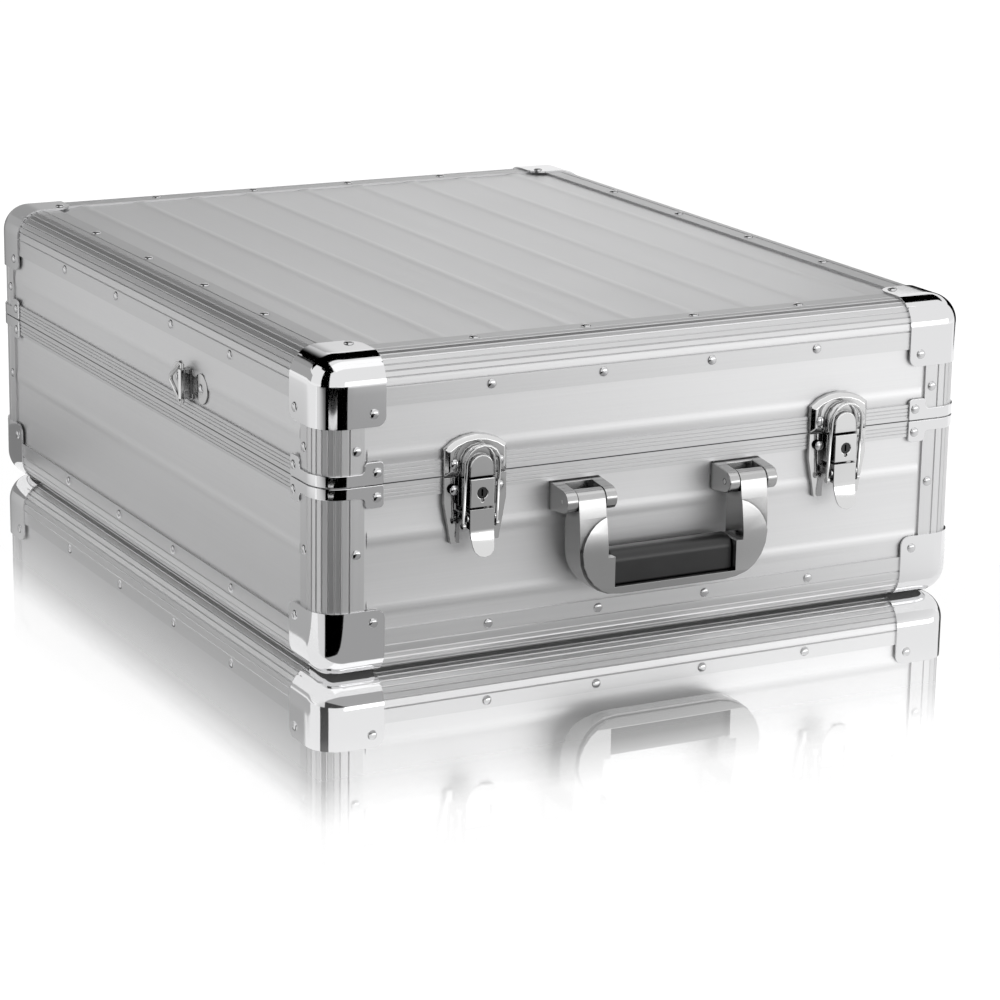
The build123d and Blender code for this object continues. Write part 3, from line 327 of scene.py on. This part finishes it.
PANEL_SHADE, PROFILE_SHADE = 0.72, 0.64
PROFILE_ROUGHNESS = 0.44
SIDE_PANEL = brushed("panel_sheet_side", PANEL_SHADE, roughness=0.46, grain="level")
FLAT_PANEL = brushed("panel_sheet_top", PANEL_SHADE, roughness=0.40, grain="y")
PROFILE = {
    grain: brushed(f"profile_along_{grain}", PROFILE_SHADE, PROFILE_ROUGHNESS, grain)
    for grain in ("x", "y", "z")
}
# The closing frames carry a painted shadow line at the seam
FRAME = with_painted_seam_shadow(brushed("closing_frame_sheet", PROFILE_SHADE, PROFILE_ROUGHNESS, "level"))
CHROME = plated("bright_plate", shade=0.76, roughness=0.07)
# The fitting and handle plates carry painted shade in their corners
FITTING = plated("fitting_plate", shade=0.70, roughness=0.08, painted_shade_reach=PAINTED_SHADE_REACH)
STEEL = plated("rivet_steel", shade=0.62, roughness=0.14)
HANDLE_METAL = plated("handle_plate", shade=0.50, roughness=0.17, painted_shade_reach=PAINTED_SHADE_REACH)
LOCK_CORE = plated("dark_lock_core", shade=0.06, roughness=0.3)
GRIP = rubber()
FOAM = foam()


def paint(piece, material):
    """One material on every slot of a piece."""
    piece.data.materials.clear()
    piece.data.materials.append(material)


# Panels and profiles

SHEET_FOLD = 24


def finish_for(node):
    """The material of a panel, a profile or a closing frame."""
    if node.endswith("_panel"):
        return FLAT_PANEL if "top" in node or "bottom" in node else SIDE_PANEL
    if node.endswith("corner_profiles"):
        return PROFILE["z"]
    if node.endswith("closing_frame"):
        return FRAME
    return PROFILE["x" if "front" in node or "rear" in node else "y"]


def even_shading(piece):
    """Flat faces stay flat, and only the bends between them shade softly."""
    weighted = piece.modifiers.new("weighted", "WEIGHTED_NORMAL")
    weighted.mode = "FACE_AREA"
    weighted.weight = 100
    weighted.keep_sharp = True


def dress_sheet_metal():
    """Panels and profiles keep their CAD shape, with smoothed shading over shallow bends."""
    for name, node in NODES.items():
        if not name.endswith(("_panel", "_profile", "_profiles", "closing_frame")):
            continue
        paint(node, finish_for(name))
        for polygon in node.data.polygons:
            polygon.use_smooth = True
        weld = node.modifiers.new("weld", "WELD")
        weld.merge_threshold = SAME_POINT
        split = node.modifiers.new("split", "EDGE_SPLIT")
        split.split_angle = math.radians(SHEET_FOLD)
        even_shading(node)


# Rivets

RIVET_RADIUS, RIVET_RISE = 3.1, 1.3
DOME_RINGS, DOME_SIDES = 4, 14
# Below 1 the dome stays wide longer before it closes
DOME_FULLNESS = 0.8
DOME_BEND = 50
# Points this close to a rivet's foot plane lie in it, in metres
IN_FOOT = 1e-5


def rivet_dome():
    """Low round head, standing on the origin along +Z."""
    radius, rise = RIVET_RADIUS * MM, RIVET_RISE * MM
    points, faces = [], []
    for ring in range(DOME_RINGS):
        turn = math.radians(90 * ring / DOME_RINGS)
        for side in range(DOME_SIDES):
            around = 2 * math.pi * side / DOME_SIDES
            reach = radius * math.cos(turn) ** DOME_FULLNESS
            points.append((reach * math.cos(around), reach * math.sin(around), rise * math.sin(turn)))
    points.append((0, 0, rise))
    for ring in range(DOME_RINGS - 1):
        for side in range(DOME_SIDES):
            after = (side + 1) % DOME_SIDES
            low, high = ring * DOME_SIDES, (ring + 1) * DOME_SIDES
            faces.append((low + side, low + after, high + after, high + side))
    last, tip = (DOME_RINGS - 1) * DOME_SIDES, len(points) - 1
    faces += [(last + side, last + (side + 1) % DOME_SIDES, tip) for side in range(DOME_SIDES)]
    faces.append(tuple(reversed(range(DOME_SIDES))))
    return mesh_from("rivet_dome", points, faces)


def joined_to(start):
    """All points that edges lead to from one point."""
    found, queue, seen = [], [start], {start}
    while queue:
        vert = queue.pop()
        found.append(vert)
        for edge in vert.link_edges:
            other = edge.other_vert(vert)
            if other not in seen:
                seen.add(other)
                queue.append(other)
    return found


def rivet_places(node):
    """Centre and outward direction of each rivet that the CAD node holds."""
    shape = bm_of(NODES[node].data)
    places, seen = [], set()
    for start in shape.verts:
        if start in seen:
            continue
        island = joined_to(start)
        seen.update(island)
        foot = {}
        for face in {face for vert in island for face in vert.link_faces}:
            key = tuple(round(value, 2) for value in face.normal)
            foot[key] = foot.get(key, 0) + face.calc_area()
        inward = Vector(max(foot, key=foot.get))
        deepest = max(vert.co.dot(inward) for vert in island)
        base = [vert.co for vert in island if deepest - vert.co.dot(inward) < IN_FOOT]
        places.append((sum(base, Vector()) / len(base), -inward))
    shape.free()
    return places


def rivet_tree(dome):
    """Geometry Nodes: a dome on every point, turned to the point's direction."""
    tree = bpy.data.node_groups.new("rivets_on_points", "GeometryNodeTree")
    interface = tree.interface
    interface.new_socket("Geometry", in_out="INPUT", socket_type="NodeSocketGeometry")
    interface.new_socket("Size", in_out="INPUT", socket_type="NodeSocketFloat")
    interface.new_socket("Geometry", in_out="OUTPUT", socket_type="NodeSocketGeometry")
    add, link = tree.nodes.new, tree.links.new
    entry, leave = add("NodeGroupInput"), add("NodeGroupOutput")
    head = add("GeometryNodeObjectInfo")
    head.inputs["Object"].default_value = dome
    outward = add("GeometryNodeInputNamedAttribute")
    outward.data_type = "FLOAT_VECTOR"
    outward.inputs["Name"].default_value = "outward"
    turn = add("FunctionNodeAlignRotationToVector")
    turn.axis = "Z"
    stand = add("GeometryNodeInstanceOnPoints")
    real = add("GeometryNodeRealizeInstances")
    coat = add("GeometryNodeSetMaterial")
    coat.inputs["Material"].default_value = STEEL
    link(outward.outputs["Attribute"], turn.inputs["Vector"])
    link(entry.outputs["Geometry"], stand.inputs["Points"])
    link(head.outputs["Geometry"], stand.inputs["Instance"])
    link(turn.outputs["Rotation"], stand.inputs["Rotation"])
    link(entry.outputs["Size"], stand.inputs["Scale"])
    link(stand.outputs["Instances"], real.inputs["Geometry"])
    link(real.outputs["Geometry"], coat.inputs["Geometry"])
    link(coat.outputs["Geometry"], leave.inputs["Geometry"])
    return tree


def set_rivets():
    """Dome heads where the CAD rivets sit, as one mesh for each half."""
    dome = new_object("rivet_dome_source", rivet_dome())
    tree = rivet_tree(dome)
    size = next(item.identifier for item in tree.interface.items_tree if item.name == "Size")
    for node, body in (("base_rivets", "base"), ("lid_rivets", "lid")):
        places = rivet_places(node)
        points = mesh_from(f"{body}_rivet_points", [at for at, _ in places], [])
        outward = points.attributes.new("outward", "FLOAT_VECTOR", "POINT")
        outward.data.foreach_set("vector", [value for _, way in places for value in way])
        holder = new_object(f"{body}_rivet_holder", points)
        modifier = holder.modifiers.new("rivets", "NODES")
        modifier.node_group = tree
        modifier[size] = 1.0
        bpy.context.view_layer.update()
        evaluated = holder.evaluated_get(bpy.context.evaluated_depsgraph_get())
        mesh = bpy.data.meshes.new_from_object(evaluated)
        mesh.name = f"{body}_rivet_heads"
        bpy.data.objects.remove(holder)
        smooth(mesh, DOME_BEND)
        heads = new_object(f"{body}_rivet_heads", mesh)
        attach(heads, body)
        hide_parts(node)
    bpy.data.objects.remove(dome)


# Corner caps and seam straps, in millimetres

CAP_LEAF = 41.2
CAP_SIDE_CORNER, CAP_FLAT_CORNER = 6.0, 12.0
NOSE = 17.0
WALL = 1.2
SEAM_GAP = 0.3
NOSE_STEPS, FLAT_STEPS, CORNER_STEPS = 9, 4, 5
PLATE_EDGE = 0.4
PLATE_BEND = 50


def leaf_steps(corner):
    """Places along a leaf: over the nose, along the flat and round the far corner."""
    straight = CAP_LEAF - corner - NOSE
    steps = [NOSE * index / NOSE_STEPS for index in range(NOSE_STEPS)]
    steps += [NOSE + straight * index / FLAT_STEPS for index in range(FLAT_STEPS)]
    return steps + [CAP_LEAF - corner + corner * index / CORNER_STEPS for index in range(CORNER_STEPS + 1)]


def round_far_corner(first, second, corner):
    """Draws the far corner of a square leaf in to a quarter circle."""
    start = CAP_LEAF - corner
    one, two = (first - start) / corner, (second - start) / corner
    if one <= 0 or two <= 0:
        return first, second
    across, along = one * math.sqrt(1 - two * two / 2), two * math.sqrt(1 - one * one / 2)
    return start + corner * across, start + corner * along


def on_cap(flat):
    """Lifts a point of the cube's corner on to the cap's rounded outer face."""
    core = Vector([max(value, NOSE) for value in flat])
    return core + (Vector(flat) - core).normalized() * (NOSE + WALL)


def one_cap():
    """Cap with its ball corner near the origin, its leaves running along +X, +Y and +Z."""
    shape = bmesh.new()
    for axis in range(3):
        corner = CAP_FLAT_CORNER if axis == 2 else CAP_SIDE_CORNER
        steps = leaf_steps(corner)
        grid = []
        for first in steps:
            row = []
            for second in steps:
                flat = [0.0, 0.0, 0.0]
                flat[(axis + 1) % 3], flat[(axis + 2) % 3] = round_far_corner(first, second, corner)
                row.append(shape.verts.new(on_cap(flat) * MM))
            grid.append(row)
        for i in range(len(steps) - 1):
            for j in range(len(steps) - 1):
                shape.faces.new((grid[i][j], grid[i][j + 1], grid[i + 1][j + 1], grid[i + 1][j]))
    bmesh.ops.remove_doubles(shape, verts=shape.verts, dist=SAME_POINT)
    return shape


TAB_RISE, BAND_RISE = 13.6, 7.0
TAB_START, TAB_END = 27.5, 40.0
TAB_CORNER = 2.6
TAB_CORNER_STEPS = 4
BEND_STEPS = 12
# Unrolled length of half the bend round the nose
HALF_BEND = math.pi / 4 * (NOSE + WALL)
# The way from the nose's centre out to the corner, seen from above, in degrees
CORNER_WAY = 225


def quarter(centre, radius, first, turn=90):
    """Points of a quarter circle from the angle first, in degrees."""
    angles = [math.radians(first + turn * step / TAB_CORNER_STEPS) for step in range(TAB_CORNER_STEPS + 1)]
    return [(centre[0] + radius * math.cos(angle), centre[1] + radius * math.sin(angle)) for angle in angles]


def strap_outline():
    """Unrolled strap, measured from the middle of the bend, with a round-cornered tab at each end."""
    start, end = HALF_BEND + TAB_START - NOSE, HALF_BEND + TAB_END - NOSE
    half_corner = TAB_CORNER / 2
    right = quarter((end - half_corner, half_corner), half_corner, -90)
    right += quarter((end - TAB_CORNER, TAB_RISE - TAB_CORNER), TAB_CORNER, 0)
    right += quarter((start + TAB_CORNER, TAB_RISE - TAB_CORNER), TAB_CORNER, 90)
    right += quarter((start - TAB_CORNER, BAND_RISE + TAB_CORNER), TAB_CORNER, 0, -90)
    return right + [(-along, rise) for along, rise in right[::-1]]


def bent(along, rise):
    """Wraps an unrolled point round the nose, corner of the profiles at the origin."""
    radius = NOSE + WALL
    if abs(along) <= HALF_BEND:
        angle = math.radians(CORNER_WAY) + along / radius
        return Vector((NOSE + radius * math.cos(angle), NOSE + radius * math.sin(angle), rise)) * MM
    straight = NOSE + abs(along) - HALF_BEND
    place = (straight, -WALL, rise) if along > 0 else (-WALL, straight, rise)
    return Vector(place) * MM


def one_strap():
    """Strap wrapped round a corner from its flat outline."""
    shape = bmesh.new()
    shape.faces.new([shape.verts.new((along, rise, 0)) for along, rise in strap_outline()])
    for step in range(BEND_STEPS + 1):
        at = HALF_BEND * (2 * step / BEND_STEPS - 1)
        everything = shape.verts[:] + shape.edges[:] + shape.faces[:]
        bmesh.ops.bisect_plane(shape, geom=everything, plane_co=(at, 0, 0), plane_no=(1, 0, 0))
    for vert in shape.verts:
        vert.co = bent(vert.co.x, vert.co.y)
    return shape


def in_four_corners(name, body, make, height, upwards):
    """Four mirrored copies of a bent plate as one piece with a wall and soft edges."""
    shape = bmesh.new()
    centre = Vector((0, MIDDLE, height))
    for right in (0, 1):
        for rear in (0, 1):
            single = make()
            scale = (-1 if right else 1, -1 if rear else 1, 1 if upwards else -1)
            corner = Vector((RIGHT if right else LEFT, REAR if rear else FRONT, height))
            for vert in single.verts:
                vert.co = corner + Vector([value * sign for value, sign in zip(vert.co, scale)])
            single.normal_update()
            bmesh.ops.recalc_face_normals(single, faces=single.faces)
            largest = max(single.faces, key=lambda face: face.calc_area())
            if largest.normal.dot(largest.calc_center_median() - centre) < 0:
                bmesh.ops.reverse_faces(single, faces=single.faces)
            part = mesh_of("corner_part", single)
            shape.from_mesh(part)
            bpy.data.meshes.remove(part)
    piece = new_object(name, mesh_of(name, shape))
    paint(piece, CHROME)
    smooth(piece.data, PLATE_BEND)
    wall = piece.modifiers.new("wall", "SOLIDIFY")
    wall.thickness = WALL * MM
    wall.offset = -1
    edge = piece.modifiers.new("edge", "BEVEL")
    edge.width = PLATE_EDGE * MM
    edge.segments = 2
    edge.limit_method = "ANGLE"
    edge.angle_limit = math.radians(PLATE_BEND)
    even_shading(piece)
    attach(piece, body)
    return piece


def corner_metal(body):
    """Caps and seam straps of the base or the lid."""
    in_lid = body == "lid"
    caps = in_four_corners(f"{body}_ball_caps", body, one_cap, TOP if in_lid else BOTTOM, not in_lid)
    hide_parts(f"{body}_corner_caps")
    gap = SEAM_GAP if in_lid else -SEAM_GAP
    straps = in_four_corners(f"{body}_bent_straps", body, one_strap, SEAM + gap * MM, in_lid)
    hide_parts(f"{body}_seam_straps")


# Hardware

# Edge rounding in millimetres; none for the round wires
HARDWARE_ROUNDING = {
    "hook_plate": 0.6, "latch_plate": 0.5, "lock_case": 0.6, "latch_lever": 0.4, "latch_bail": 0.0,
    "handle_bracket": 0.7, "strap_plate": 0.35, "strap_ring": 0.0, "base_leaf": 0.3, "lid_leaf": 0.3,
}
PAIR_ROUNDING = {"handle_frame": 0.9, "lever_pins": 0.15, "hinge_pins": 0.15, "handle_pins": 0.2}
KEY_ROUNDING = 0.15
GRIP_ROUNDING, GRIP_SEGMENTS = 1.2, 5
# Faces that lie within the first angle are one face; edges sharper than the others are rounded
FLAT_WITHIN = 0.2
SOFT_BEND, WIRE_BEND = 32.0, 60.0


def worked_copy(node, material, width, segments=3):
    """A copy of a CAD node with merged faces and rounded edges, which stands for it."""
    name = f"{node}_worked"
    shape = bm_of(NODES[node].data)
    flat = math.radians(FLAT_WITHIN)
    bmesh.ops.dissolve_limit(shape, angle_limit=flat, verts=shape.verts, edges=shape.edges)
    piece = new_object(name, mesh_of(name, shape))
    smooth(piece.data, SOFT_BEND if width else WIRE_BEND)
    paint(piece, material)
    if width:
        bevel = piece.modifiers.new("rounding", "BEVEL")
        bevel.width = width * MM
        bevel.segments = segments
        bevel.limit_method = "ANGLE"
        bevel.angle_limit = math.radians(SOFT_BEND)
        bevel.miter_outer = "MITER_ARC"
        even_shading(piece)
    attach(piece, NODES[node]["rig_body"])
    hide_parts(node)
    return piece


def dress_hardware():
    """Plated parts keep their CAD form, with rounded edges; wires are only shaded round."""
    for side in ("left", "right"):
        for part, width in HARDWARE_ROUNDING.items():
            metal = HANDLE_METAL if part == "handle_bracket" else FITTING
            worked_copy(f"{side}_{part}", metal, width)
        worked_copy(f"{side}_key_barrel", LOCK_CORE, KEY_ROUNDING)
    for node, width in PAIR_ROUNDING.items():
        metal = HANDLE_METAL if node == "handle_frame" else FITTING
        worked_copy(node, metal, width)
    worked_copy("handle_grip", GRIP, GRIP_ROUNDING, GRIP_SEGMENTS)


# Foam lining, in millimetres

STRIP_THICKNESS = 12.0
SLAB_ROUNDING, STRIP_ROUNDING = 2.5, 2.0
FOAM_BEND = 40


def foam_block(name, low, high, rounding):
    """Box with soft edges."""
    shape = bmesh.new()
    bmesh.ops.create_cube(shape, size=1.0)
    size, centre = high - low, (high + low) / 2
    for vert in shape.verts:
        vert.co = Vector([c + v * s for c, v, s in zip(centre, vert.co, size)])
    edges = shape.edges[:]
    bmesh.ops.bevel(shape, geom=edges, offset=rounding * MM, segments=4, profile=0.5, affect="EDGES")
    mesh = mesh_of(name, shape)
    smooth(mesh, FOAM_BEND)
    return new_object(name, mesh)


def finish_foam(piece, body, node):
    paint(piece, FOAM)
    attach(piece, body)
    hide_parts(node)


def lay_foam():
    """Foam slabs and wall strips, each strip its own block."""
    for node, body in (("base_floor_foam", "base"), ("lid_top_foam", "lid")):
        low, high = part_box(node)
        slab = foam_block(f"{node}_slab", low, high, SLAB_ROUNDING)
        finish_foam(slab, body, node)
    for node, body in (("base_wall_foam", "base"), ("lid_wall_foam", "lid")):
        low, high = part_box(node)
        thick = STRIP_THICKNESS * MM
        front, rear = low.y + thick, high.y - thick
        spans = {
            "front": (low, Vector((high.x, front, high.z))),
            "rear": (Vector((low.x, rear, low.z)), high),
            "left": (Vector((low.x, front, low.z)), Vector((low.x + thick, rear, high.z))),
            "right": (Vector((high.x - thick, front, low.z)), Vector((high.x, rear, high.z))),
        }
        for side, (start, end) in spans.items():
            strip = foam_block(f"{body}_{side}_foam_strip", start, end, STRIP_ROUNDING)
            finish_foam(strip, body, node)


# Studio, in metres

# Share of mirror in the floor, by the height of the case that it reflects
MIRROR_STOPS = ((0.0, 0.97), (0.03, 0.92), (0.055, 0.68), (0.075, 0.16), (0.11, 0.05), (0.15, 0.0))
# Floor covered in front of the case and beside it for each unit of height
FRONT_REACH, SIDE_REACH = 2.8, 1.3
FLOOR_SHADE, FLOOR_GLOW = 0.8, 0.6
FLOOR_HALF = 9
SKY_AS_LIGHT = 0.6


def level(height, *corners):
    """Corners of a level card, from their places seen from above."""
    return [(x, y, height) for x, y in corners]


def upright(first, last, low, high):
    """Corners of an upright card over the line between two places, facing right of the way there."""
    return [(*first, low), (*last, low), (*last, high), (*first, high)]


# Each card: its corners, then one brightness, or two with the axis between them and where they lie
CARDS = {
    "dark_ceiling": (level(1.5, (-1.3, 0.0), (-1.3, 1.6), (1.7, 1.6), (1.7, 0.0)), 0.0),
    "dark_mat": (level(0.004, (-0.235, -0.265), (-1.62, -1.065), (-0.885, -2.05), (0.43, -1.83)), 0.0),
    "fading_mat": (level(0.0035, (-0.235, -0.262), (-1.7, -0.10), (-1.7, -1.3)),
                   0.12, 0.85, "Y", -0.62, -0.24),
    "window_on_floor": (level(0.0045, (-0.379, -0.824), (-0.648, -0.650), (-0.689, -0.690),
                              (-0.395, -0.880)), 1.0),
    "window_bar_on_floor": (level(0.0045, (-0.400, -0.592), (-0.508, -0.503), (-0.525, -0.518),
                                  (-0.412, -0.610)), 1.0),
    "left_mat": (level(0.003, (-0.25, -0.20), (-0.25, 1.6), (-1.6, 1.6), (-1.6, -0.05)),
                 1.0, 0.48, "X", -0.75, -0.25),
    "left_rear_card": (upright((-0.315, 0.39), (-0.20, 0.39), 0, 0.2), 0.6, 0.25, "X", -0.31, -0.23),
    "left_rear_mat": (level(0.0045, (-0.315, 0.27), (-0.20, 0.27), (-0.20, 0.389), (-0.315, 0.389)), 0.25),
    "left_wall": (upright((-2.3, 1.2), (-0.3, 2.7), 0.12, 0.85), 0.45),
    "left_high_wall": (upright((-2.2, 2.55), (0.5, 2.55), 1.35, 2.8), 0.0, 0.7, "X", -0.4, 0.5),
    "foot_mat": (level(0.003, (-0.24, -0.265), (-0.24, -0.42), (0.7, -0.42), (0.7, -0.265)),
                 0.42, 1.0, "X", 0.0, 0.30),
    "front_mat": (level(0.002, (-0.30, -0.27), (-0.60, -1.8), (1.4, -1.8), (1.4, -0.27)),
                  0.42, 1.0, "X", 0.05, 0.42),
    "dark_wall": (upright((-1.139, -1.179), (-1.476, -0.50), 0, 1.6), 0.0),
    "dark_left_ceiling": (level(1.5, (-1.5, -1.2), (-1.5, 0.1), (-0.55, 0.1), (-0.75, -1.2)), 0.0),
    "rear_right_card": (upright((1.1, 1.2), (0.9, -0.1), 0, 0.5), 0.0),
    "rear_card": (upright((-1.6, 2.6), (2.2, 2.6), 0, 1.5), 0.38, 1.0, "X", 0.3, 1.6),
}
# Each lamp: its place, the point it faces, its width and height, and its watts
LAMPS = {
    "overhead_softbox": ((0.2, -0.9, 2.2), (0, -0.1, 0.1), (2.2, 1.2), 2.5),
    "front_softbox": ((1.4, -2.3, 0.3), (0, 0, 0.1), (2.4, 0.5), 6.8),
}


def seen_by_camera_or_metal(tree):
    """1 for rays that show the background itself, 0 for rays that gather its light."""
    rays = tree.nodes.new("ShaderNodeLightPath")
    seen = rays.outputs["Is Camera Ray"]
    for ray in ("Is Glossy Ray", "Is Transmission Ray"):
        both = tree.nodes.new("ShaderNodeMath")
        both.operation = "MAXIMUM"
        tree.links.new(seen, both.inputs[0])
        tree.links.new(rays.outputs[ray], both.inputs[1])
        seen = both.outputs[0]
    return seen


def white_floor():
    """Pale floor that mirrors the case where it stands and fades to plain white around it."""
    far = FLOOR_HALF
    corners = level(0, (-far, -far), (far, -far), (far, far), (-far, far))
    floor = new_object("floor", mesh_from("floor", corners, [(0, 1, 2, 3)]))
    shade = (FLOOR_SHADE, FLOOR_SHADE, FLOOR_SHADE, 1.0)
    finish = Finish("pale_floor", Base_Color=shade, Roughness=1.0, Specular_IOR_Level=0.0)
    finish.set("Emission Color", (1, 1, 1, 1))
    finish.set("Emission Strength", Wire(finish, seen_by_camera_or_metal(finish.tree)) * FLOOR_GLOW)
    x, y = finish.along("X"), finish.along("Y")
    in_front, behind = (FRONT - y) * (1 / FRONT_REACH), (y - REAR) * (1 / FRONT_REACH)
    at_left, at_right = (LEFT - x) * (1 / SIDE_REACH), (x - RIGHT) * (1 / SIDE_REACH)
    height = 0.0
    for past_edge in (in_front, behind, at_left, at_right):
        height = finish.math("MAXIMUM", past_edge, height)
    share = MIRROR_STOPS[0][1]
    for (low, less), (high, more) in zip(MIRROR_STOPS, MIRROR_STOPS[1:]):
        share = finish.spread(height, low, high, 0.0, more - less) + share
    mirror = finish.node("ShaderNodeBsdfGlossy", inputs={"Color": (1, 1, 1, 1), "Roughness": 0.0})
    finish.cover(share, mirror)
    paint(floor, finish.material)


def card(name, corners, first, last=None, axis="X", low=0.0, high=1.0):
    """Studio card that metal reflects from its front; the camera and the floor look past it."""
    last = first if last is None else last
    piece = new_object(name, mesh_from(name, corners, [tuple(range(len(corners)))]))
    finish = Finish(f"{name}_paint", Base_Color=(0, 0, 0, 1), Roughness=1.0, Specular_IOR_Level=0.0)
    finish.material.cycles.emission_sampling = "NONE"
    finish.set("Emission Strength", 1.0)
    shade = finish.spread(finish.along(axis), low, high, first, last, "SMOOTHSTEP")
    finish.set("Emission Color", finish.grey(shade))
    behind = finish.node("ShaderNodeNewGeometry", output="Backfacing")
    in_floor = finish.node("ShaderNodeLightPath", output="Is Singular Ray")
    finish.cover(finish.math("MAXIMUM", behind, in_floor), finish.node("ShaderNodeBsdfTransparent"))
    paint(piece, finish.material)
    piece.visible_camera = False
    piece.visible_diffuse = False
    piece.visible_shadow = False


def area_light(name, at, target, size, power):
    lamp = bpy.data.lights.new(name, "AREA")
    lamp.shape = "RECTANGLE"
    lamp.size, lamp.size_y = size
    lamp.energy = power
    light = bpy.data.objects.new(name, lamp)
    bpy.context.scene.collection.objects.link(light)
    light.location = at
    light.rotation_euler = (Vector(target) - Vector(at)).to_track_quat("-Z", "Y").to_euler()


def studio():
    """White to the camera and to metal, softer as a light, with cards and two soft lamps."""
    for name, terms in CARDS.items():
        card(name, *terms)
    world = bpy.data.worlds.new("studio")
    bpy.context.scene.world = world
    world.use_nodes = True
    tree = world.node_tree
    sky = tree.nodes["Background"]
    sky.inputs["Color"].default_value = (1, 1, 1, 1)
    strength = tree.nodes.new("ShaderNodeMapRange")
    strength.inputs["To Min"].default_value = SKY_AS_LIGHT
    strength.inputs["To Max"].default_value = 1.0
    tree.links.new(seen_by_camera_or_metal(tree), strength.inputs["Value"])
    tree.links.new(strength.outputs["Result"], sky.inputs["Strength"])
    for name, terms in LAMPS.items():
        area_light(name, *terms)


def camera():
    """Camera at the photograph's place, built from its azimuth, elevation and roll."""
    angles = (CAMERA_AZIMUTH, CAMERA_ELEVATION, CAMERA_ROLL)
    turn, rise, roll = (math.radians(value) for value in angles)
    back = Vector((math.sin(turn) * math.cos(rise), -math.cos(turn) * math.cos(rise), math.sin(rise)))
    flat = Vector((math.cos(turn), math.sin(turn), 0))
    over = back.cross(flat)
    right = flat * math.cos(roll) + over * math.sin(roll)
    up = over * math.cos(roll) - flat * math.sin(roll)
    lens = bpy.data.cameras.new("camera")
    lens.sensor_width = SENSOR
    lens.lens = FOCAL
    lens.clip_end = FARTHEST_SEEN
    view = bpy.data.objects.new("camera", lens)
    view.matrix_world = Matrix((
        (right.x, up.x, back.x, CAMERA_AT.x),
        (right.y, up.y, back.y, CAMERA_AT.y),
        (right.z, up.z, back.z, CAMERA_AT.z),
        (0, 0, 0, 1),
    ))
    bpy.context.scene.collection.objects.link(view)
    bpy.context.scene.camera = view


dress_sheet_metal()
set_rivets()
corner_metal("base")
corner_metal("lid")
dress_hardware()
lay_foam()
white_floor()
studio()
camera()
bpy.context.scene.view_settings.view_transform = "Standard"
